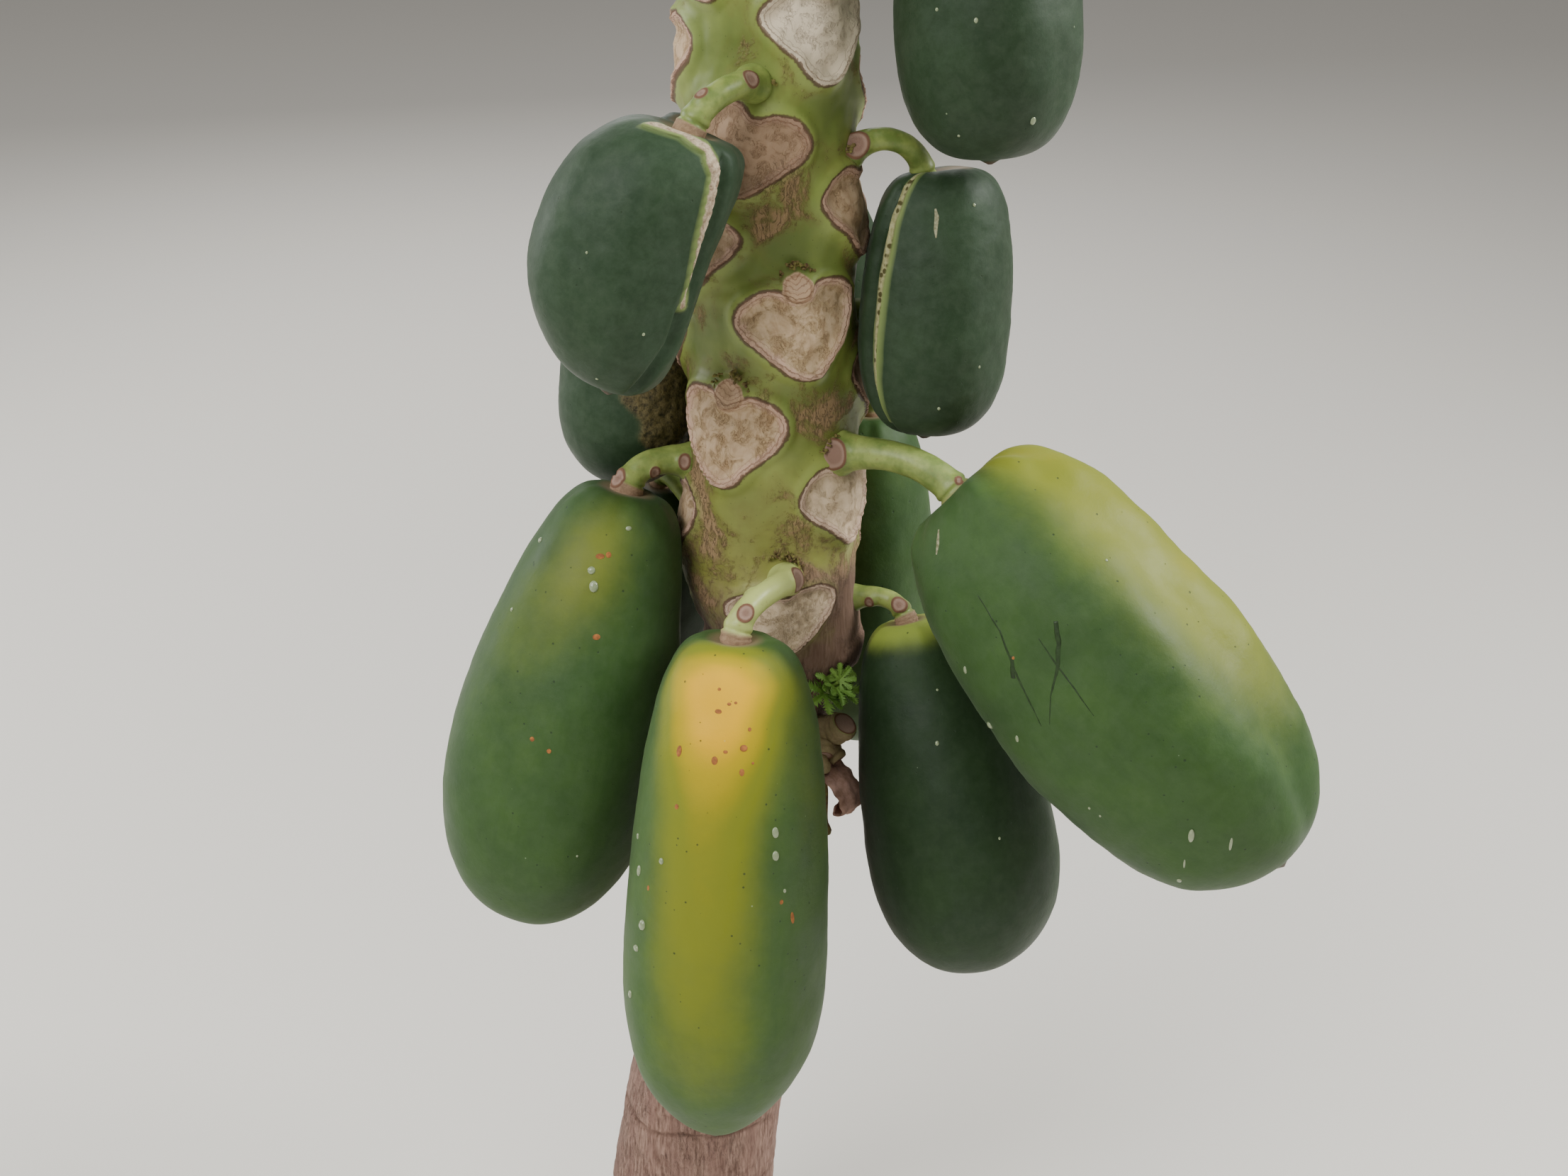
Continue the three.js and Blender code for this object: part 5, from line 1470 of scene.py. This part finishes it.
# Places: degrees from the front, share of the length, and half the size across and along.
DROPS = {
    "fruit_front": [(28, 0.31, 2.0, 3.2), (28, 0.352, 2.1, 2.9), (-61, 0.42, 1.9, 3.4),
                    (-53, 0.515, 2.7, 3.2), (-58, 0.567, 2.3, 2.0), (-62, 0.665, 1.8, 2.4),
                    (-41, 0.38, 1.6, 1.9), (34, 0.42, 1.0, 1.2), (-66, 0.36, 1.2, 1.8)],
    "fruit_left_lower": [(-5, 0.185, 2.6, 3.4), (-10, 0.156, 2.3, 2.3), (-66, 0.142, 1.7, 1.7),
                         (-56, 0.288, 1.0, 1.4), (10, 0.06, 1.8, 1.4), (22, 0.75, 0.8, 0.8)],
    "fruit_right_large": [(-51, 0.294, 1.3, 2.4), (-61, 0.411, 2.3, 2.4), (-46, 0.46, 1.3, 2.2),
                          (-13, 0.811, 1.7, 4.8), (-2, 0.873, 0.9, 4.4), (-45, 0.879, 1.4, 1.9),
                          (-30, 0.852, 0.6, 3.2), (-40, 0.651, 0.8, 0.9), (-39, 0.676, 0.7, 0.8),
                          (42, 0.3, 0.8, 0.9)],
    "fruit_right_lower": [(2, 0.306, 1.2, 1.5), (13, 0.176, 0.8, 0.8), (26, 0.583, 0.8, 0.9)],
    "fruit_right_top": [(28, 0.86, 1.6, 2.2), (-11, 0.52, 1.1, 1.4), (-35, 0.48, 0.9, 1.0),
                        (3, 0.43, 1.3, 1.7), (-30, 0.9, 0.8, 0.8)],
    "fruit_right_upper": [(5, 0.86, 0.9, 1.1), (35, 0.7, 0.8, 0.9), (24, 0.12, 0.9, 1.0)],
    "fruit_left_upper": [(30, 0.72, 0.9, 0.9), (-8, 0.94, 0.9, 0.7), (-20, 0.5, 0.7, 0.8)],
}
SCABS = {
    "fruit_front": [(-37, 0.178, 1.6, 3.2), (-11, 0.183, 1.8, 2.4), (8, 0.158, 2.1, 1.9),
                    (7, 0.2, 1.4, 2.1), (-11, 0.1, 2.0, 1.3), (-3, 0.086, 1.2, 0.9),
                    (2, 0.083, 0.9, 0.8), (-12, 0.064, 1.0, 0.9), (12, 0.126, 1.0, 1.2),
                    (-4, 0.166, 1.3, 1.0), (-34, 0.275, 1.3, 1.5), (40, 0.476, 1.3, 3.6),
                    (-50, 0.44, 1.0, 1.6), (14, 0.184, 0.8, 0.8), (32, 0.44, 1.2, 1.4)],
    "fruit_left_lower": [(-7, 0.125, 2.6, 1.6), (-1, 0.118, 1.6, 1.8), (5, 0.28, 2.2, 1.7),
                         (-15, 0.516, 1.4, 1.4), (-5, 0.53, 1.3, 1.4)],
    "fruit_right_large": [(-20, 0.33, 0.9, 1.0)],
}

# A flat drop stands on each point, with its long side the way it ran down the skin.
set_out = bpy.data.node_groups.new("drops_on_skin", "GeometryNodeTree")
given = group_inputs(set_out, [
    ("Places", "NodeSocketGeometry"), ("Detail", "NodeSocketInt"), ("Finish", "NodeSocketMaterial")])
outward_way = add_node(set_out, "GeometryNodeInputNamedAttribute", {"Name": "facing"},
                       data_type="FLOAT_VECTOR")
down_way = add_node(set_out, "GeometryNodeInputNamedAttribute", {"Name": "down"},
                    data_type="FLOAT_VECTOR")
extent = add_node(set_out, "GeometryNodeInputNamedAttribute", {"Name": "extent"},
                  data_type="FLOAT_VECTOR")
stood = add_node(set_out, "FunctionNodeAlignRotationToVector", {
    "Vector": outward_way.outputs[0]}, axis="Z")
lying = add_node(set_out, "FunctionNodeAlignRotationToVector", {
    "Rotation": stood, "Vector": down_way.outputs[0]}, axis="X", pivot_axis="Z")
bead = add_node(set_out, "GeometryNodeMeshIcoSphere", {
    "Radius": 1.0, "Subdivisions": given["Detail"]})
beads = add_node(set_out, "GeometryNodeInstanceOnPoints", {
    "Points": given["Places"], "Instance": bead.outputs["Mesh"], "Rotation": lying,
    "Scale": extent.outputs[0]})
real = add_node(set_out, "GeometryNodeRealizeInstances", {"Geometry": beads})
rounded = add_node(set_out, "GeometryNodeSetShadeSmooth", {"Geometry": real})
coated = add_node(set_out, "GeometryNodeSetMaterial", {
    "Geometry": rounded, "Material": given["Finish"]})
add_node(set_out, "NodeGroupOutput", {"Geometry": coated})


def point_mesh(name, points, values):
    """A mesh of loose points, in m, that keeps a vector of each kind at each point."""
    mesh = bpy.data.meshes.new(name)
    mesh.from_pydata(points, [], [])
    for label, data in values.items():
        layer = mesh.attributes.new(label, "FLOAT_VECTOR", "POINT")
        layer.data.foreach_set("vector", np.array(data, np.float32).ravel())
    return mesh


def place_mesh(name, places, height):
    """Points on the fruits' skins, each with the way it faces and the size of its bead."""
    points, facing, down, extent = [], [], [], []
    for fruit in MAIN_FRUIT:
        for side, share, half_across, half_along in places.get(fruit["name"], []):
            share_here = np.array([share, share + 0.004, share])
            turn_here = side_turn(fruit, np.array([side, side, side + 1.0]))
            here, below, beside = fruit_points(fruit, share_here, turn_here)
            normal = np.cross(below - here, beside - here)
            normal /= np.linalg.norm(normal)
            top, axis = fruit_frame(fruit)[:2]
            if normal @ (here - top - axis * share) < 0:
                normal = -normal
            points.append(here * MM)
            facing.append(normal)
            down.append(normal * normal[2] - [0, 0, 1])
            low = min(half_across, half_along)
            extent.append(np.array([half_along, half_across, height * low]) * MM)
    return point_mesh(name, points, {"facing": facing, "down": down, "extent": extent})


latex, tree = new_material("dried_latex")
place = add_node(tree, "ShaderNodeTexCoord").outputs["Object"]
milk = add_node(tree, "ShaderNodeTexNoise", {"Vector": place, "Scale": 500, "Detail": 2})
milk = add_node(tree, "ShaderNodeMix", {
    "Factor": milk, "A": colour("#87996b"), "B": colour("#bcc7a2")}, data_type="RGBA")
shader = add_node(tree, "ShaderNodeBsdfPrincipled", {
    "Base Color": milk, "Roughness": 0.16, "IOR": 1.4, "Transmission Weight": 0.35,
    "Coat Weight": 0.5, "Coat Roughness": 0.08})
add_node(tree, "ShaderNodeOutputMaterial", {"Surface": shader})

# Scratches: where leaf stalks rubbed the large fruit, its bloom is gone and the skin is dark.
STRIP_THICKNESS = 0.0003
# Places along each scratch: degrees from the front, share of the length, half the width in mm.
SCRATCHES = {
    "fruit_right_large": [
        [(-18, 0.195, 0.3), (-18, 0.275, 0.7), (-25, 0.38, 0.8), (-29, 0.466, 0.2)],
        [(7, 0.325, 1.3), (2, 0.36, 1.7), (-5, 0.395, 1.2), (-16, 0.43, 0.5), (-25, 0.472, 0.2)],
        [(-4, 0.33, 0.3), (-5, 0.392, 0.7), (-5, 0.45, 0.5), (-6, 0.509, 0.2)],
        [(-20, 0.325, 1.5), (-26, 0.361, 1.4)],
    ],
}
HEALED = {
    "fruit_right_upper": [[(-12, 0.14, 0.6), (-10, 0.17, 1.5), (-10, 0.21, 1.3), (-9, 0.24, 0.5)]],
    "fruit_right_large": [[(-24, 0.05, 0.8), (-28, 0.07, 1.4), (-32, 0.085, 0.6)]],
}


def strip_mesh(fruit, lines):
    """Thin strips that lie on the fruit's skin along lines of places."""
    points, faces = [], []
    for line in lines:
        line = np.array(line, float)
        along_line = np.linspace(0, len(line) - 1, 10 * len(line))
        side, share, half = [np.interp(along_line, np.arange(len(line)), line[:, k]) for k in range(3)]
        middle = fruit_points(fruit, share, side_turn(fruit, side))
        beside = fruit_points(fruit, share, side_turn(fruit, side + 1))
        below = fruit_points(fruit, share + 0.005, side_turn(fruit, side))
        normal = np.cross(below - middle, beside - middle)
        normal /= np.linalg.norm(normal, axis=1)[:, None]
        top, axis = fruit_frame(fruit)[:2]
        if normal[0] @ (middle[0] - top - axis * share[0]) < 0:
            normal = -normal
        across = np.cross(normal, np.gradient(middle, axis=0))
        across *= half[:, None] / np.linalg.norm(across, axis=1)[:, None]
        first = len(points)
        for place, out_way, wide in zip(middle, normal, across):
            points += [place - wide - 0.1 * out_way, place - 0.6 * wide + 0.1 * out_way,
                       place + 0.6 * wide + 0.1 * out_way, place + wide - 0.1 * out_way]
        for corner in (first + 4 * k + j for k in range(len(middle) - 1) for j in range(3)):
            faces.append((corner, corner + 4, corner + 5, corner + 1))
    return points, faces


scratched = plain_material("papaya_skin_rubbed", "#233a14", "#182a0c", 4, 0.4, 0.3)
healed = plain_material("papaya_healed_mark", "#a3a183", "#6c6a4a", 2, 0.8, 0.6)
for label, rows, finish in (("scratches", SCRATCHES, scratched), ("healed_marks", HEALED, healed)):
    for fruit in MAIN_FRUIT:
        if fruit["name"] in rows:
            points, faces = strip_mesh(fruit, rows[fruit["name"]])
            strip = make_piece(fruit["name"] + "_" + label, points, faces, finish)
            thicken(strip, STRIP_THICKNESS)

scab_brown = plain_material("papaya_scab", "#b06f36", "#7d4a26", 2.5, 0.7, 0.5)
run_tree("latex_drops", place_mesh("latex_drops", DROPS, DROP_HEIGHT), set_out,
         {"Detail": BEAD_DETAIL, "Finish": latex})
run_tree("skin_scabs", place_mesh("skin_scabs", SCABS, SCAB_HEIGHT), set_out,
         {"Detail": BEAD_DETAIL, "Finish": scab_brown})

# Blossoms: a papaya flowers in the axils of its green leaves, one open cream flower and a few
# buds at each. The five waxy petals stand on a short tube and a thin green stalk.
PETALS = 5
PETAL_LENGTH = 17
PETAL_WIDTH = 6.5
PETAL_THICKNESS = 0.0006
BUD_LENGTH = 9
FLOWERING_AXILS = 9

flower_points, flower_faces = [], []
rows = 6
for petal in range(PETALS):
    turn = 2 * math.pi * petal / PETALS
    aside = np.array([-math.sin(turn), math.cos(turn), 0])
    radial = np.array([math.cos(turn), math.sin(turn), 0])
    first = len(flower_points)
    for row in range(rows + 1):
        share = row / rows
        reach = 1.2 + PETAL_LENGTH * 0.62 * share ** 1.8
        lift = PETAL_LENGTH * 0.85 * math.sin(1.5 * share ** 0.8)
        width = PETAL_WIDTH * (0.35 + 0.65 * math.sin(math.pi * min(1, share + 0.12) ** 1.1))
        width = max(width, 0.6)
        for side in (-0.5, 0, 0.5):
            cup = 1.1 * (abs(side) * 2) ** 2
            flower_points.append(radial * (reach - cup * (1 - share)) + aside * width * side
                                 + np.array([0, 0, lift + cup * share]))
    for row in range(rows):
        for side in range(2):
            a = first + row * 3 + side
            flower_faces.append((a, a + 3, a + 4, a + 1))
flower_mesh = bpy.data.meshes.new("papaya_flower")
flower_mesh.from_pydata((np.array(flower_points) * MM).tolist(), [], flower_faces)
flower_mesh.shade_smooth()
flower = bpy.data.objects.new("papaya_flower", flower_mesh)

# One flower stands on each point and looks along the point's "facing".
bloom = bpy.data.node_groups.new("flowers_in_axils", "GeometryNodeTree")
given = group_inputs(bloom, [
    ("Axils", "NodeSocketGeometry"), ("Flower", "NodeSocketObject"),
    ("Petal", "NodeSocketMaterial")])
facing = add_node(bloom, "GeometryNodeInputNamedAttribute", {"Name": "facing"},
                  data_type="FLOAT_VECTOR")
extent = add_node(bloom, "GeometryNodeInputNamedAttribute", {"Name": "extent"},
                  data_type="FLOAT_VECTOR")
stood = add_node(bloom, "FunctionNodeAlignRotationToVector", {"Vector": facing.outputs[0]},
                 axis="Z")
shape = add_node(bloom, "GeometryNodeObjectInfo", {"Object": given["Flower"]})
flowers = add_node(bloom, "GeometryNodeInstanceOnPoints", {
    "Points": given["Axils"], "Instance": shape.outputs["Geometry"], "Rotation": stood,
    "Scale": extent.outputs[0]})
real = add_node(bloom, "GeometryNodeRealizeInstances", {"Geometry": flowers})
coated = add_node(bloom, "GeometryNodeSetMaterial", {"Geometry": real, "Material": given["Petal"]})
add_node(bloom, "NodeGroupOutput", {"Geometry": coated})

rng = np.random.default_rng(5)
lines, buds, spots, ways, sizes = [], [], [], [], []
for leaf in range(LAST_FALLEN - 1, LAST_FALLEN - 1 - FLOWERING_AXILS, -1):
    direction = leaf_direction(leaf)
    base = trunk_point(direction, leaf_height(leaf) + AXIL_RISE * 0.6, -1)
    out_here = outward(direction)
    aside = np.cross(up, out_here)
    for stem in range(3):
        swing = aside * (stem - 1) * 9 + up * rng.uniform(2, 10)
        end = base + out_here * rng.uniform(11, 17) + swing
        centres, _ = even_curve([base, base + out_here * 8 + swing * 0.3, end], 8)
        lines.append((centres, np.linspace(1.7, 1.3, 8)))
        way = out_here + up * 0.9 + aside * (stem - 1) * 0.5
        way /= np.linalg.norm(way)
        if stem == 1 and leaf % 2 == 0:
            spots.append(end * MM)
            ways.append(way)
            sizes.append([rng.uniform(0.85, 1.05)] * 3)
        share = np.linspace(0, 1, 9)
        length = BUD_LENGTH * (0.45 if stem == 1 and leaf % 2 == 0 else rng.uniform(0.7, 1.3))
        plump = 2.4 * np.sin(np.pi * (0.12 + 0.83 * share)) ** 0.8
        buds.append((end + way * length * share[:, None], plump))
open_flowers = point_mesh("blossoms", spots, {"facing": ways, "extent": sizes})
petal_cream = plain_material("papaya_petal", "#efe6c4", "#dfd3a6", 7, 0.45, 0.1)
blossoms = run_tree("blossoms", open_flowers, bloom,
                    {"Flower": flower, "Petal": petal_cream})
thicken(blossoms, PETAL_THICKNESS)
run_tree("flower_buds", line_mesh("flower_buds", buds), sweep,
         {"Sides": 10, "Bark": petal_cream})
run_tree("flower_stalks", line_mesh("flower_stalks", lines), sweep,
         {"Sides": 6, "Bark": petiole_green})
bpy.data.objects.remove(flower)

# Studio: a pale floor and soft lamps. Those at the sides shine in under the crown, so that it
# doesn't shade the fruit, and the strongest on the fruit is on the right, like the sun there.
FLOOR_REACH = 9
LAMP_AIM = Vector((0.06, 0, 0.7))
SKY_COLOUR = (1, 0.98, 0.95, 1)
SKY_STRENGTH = 0.27

floor_mesh = bpy.data.meshes.new("floor")
corners = [(x * FLOOR_REACH, y * FLOOR_REACH, 0) for x, y in ((-1, -1), (1, -1), (1, 1), (-1, 1))]
floor_mesh.from_pydata(corners, [], [(0, 1, 2, 3)])
floor = bpy.data.objects.new("floor", floor_mesh)
bpy.context.scene.collection.objects.link(floor)
floor_paint, tree = new_material("floor_paint")
shader = add_node(tree, "ShaderNodeBsdfPrincipled", {
    "Base Color": colour("#d8d4cc"), "Roughness": 0.9})
add_node(tree, "ShaderNodeOutputMaterial", {"Surface": shader})
floor_mesh.materials.append(floor_paint)

LAMPS = [
    ("sun_side", (1.6, 0.1, 1.7), 0.7, 52),
    ("sky_side", (-1.3, -1.5, 2.3), 1.5, 66),
    ("top", (0.0, -1.4, 4.2), 2.4, 112),
    ("rear", (-0.6, 2.6, 2.2), 1.8, 40),
    ("left_rim", (-2.1, 0.8, 1.1), 1.0, 24),
]
for name, location, size, power in LAMPS:
    lamp_data = bpy.data.lights.new(name, "AREA")
    lamp_data.size = size
    lamp_data.energy = power
    lamp = bpy.data.objects.new(name, lamp_data)
    lamp.location = location
    aim = LAMP_AIM - Vector(location)
    lamp.rotation_euler = aim.to_track_quat("-Z", "Y").to_euler()
    bpy.context.scene.collection.objects.link(lamp)
world = bpy.data.worlds.new("studio")
world.use_nodes = True
world.node_tree.nodes["Background"].inputs["Color"].default_value = SKY_COLOUR
world.node_tree.nodes["Background"].inputs["Strength"].default_value = SKY_STRENGTH
bpy.context.scene.world = world
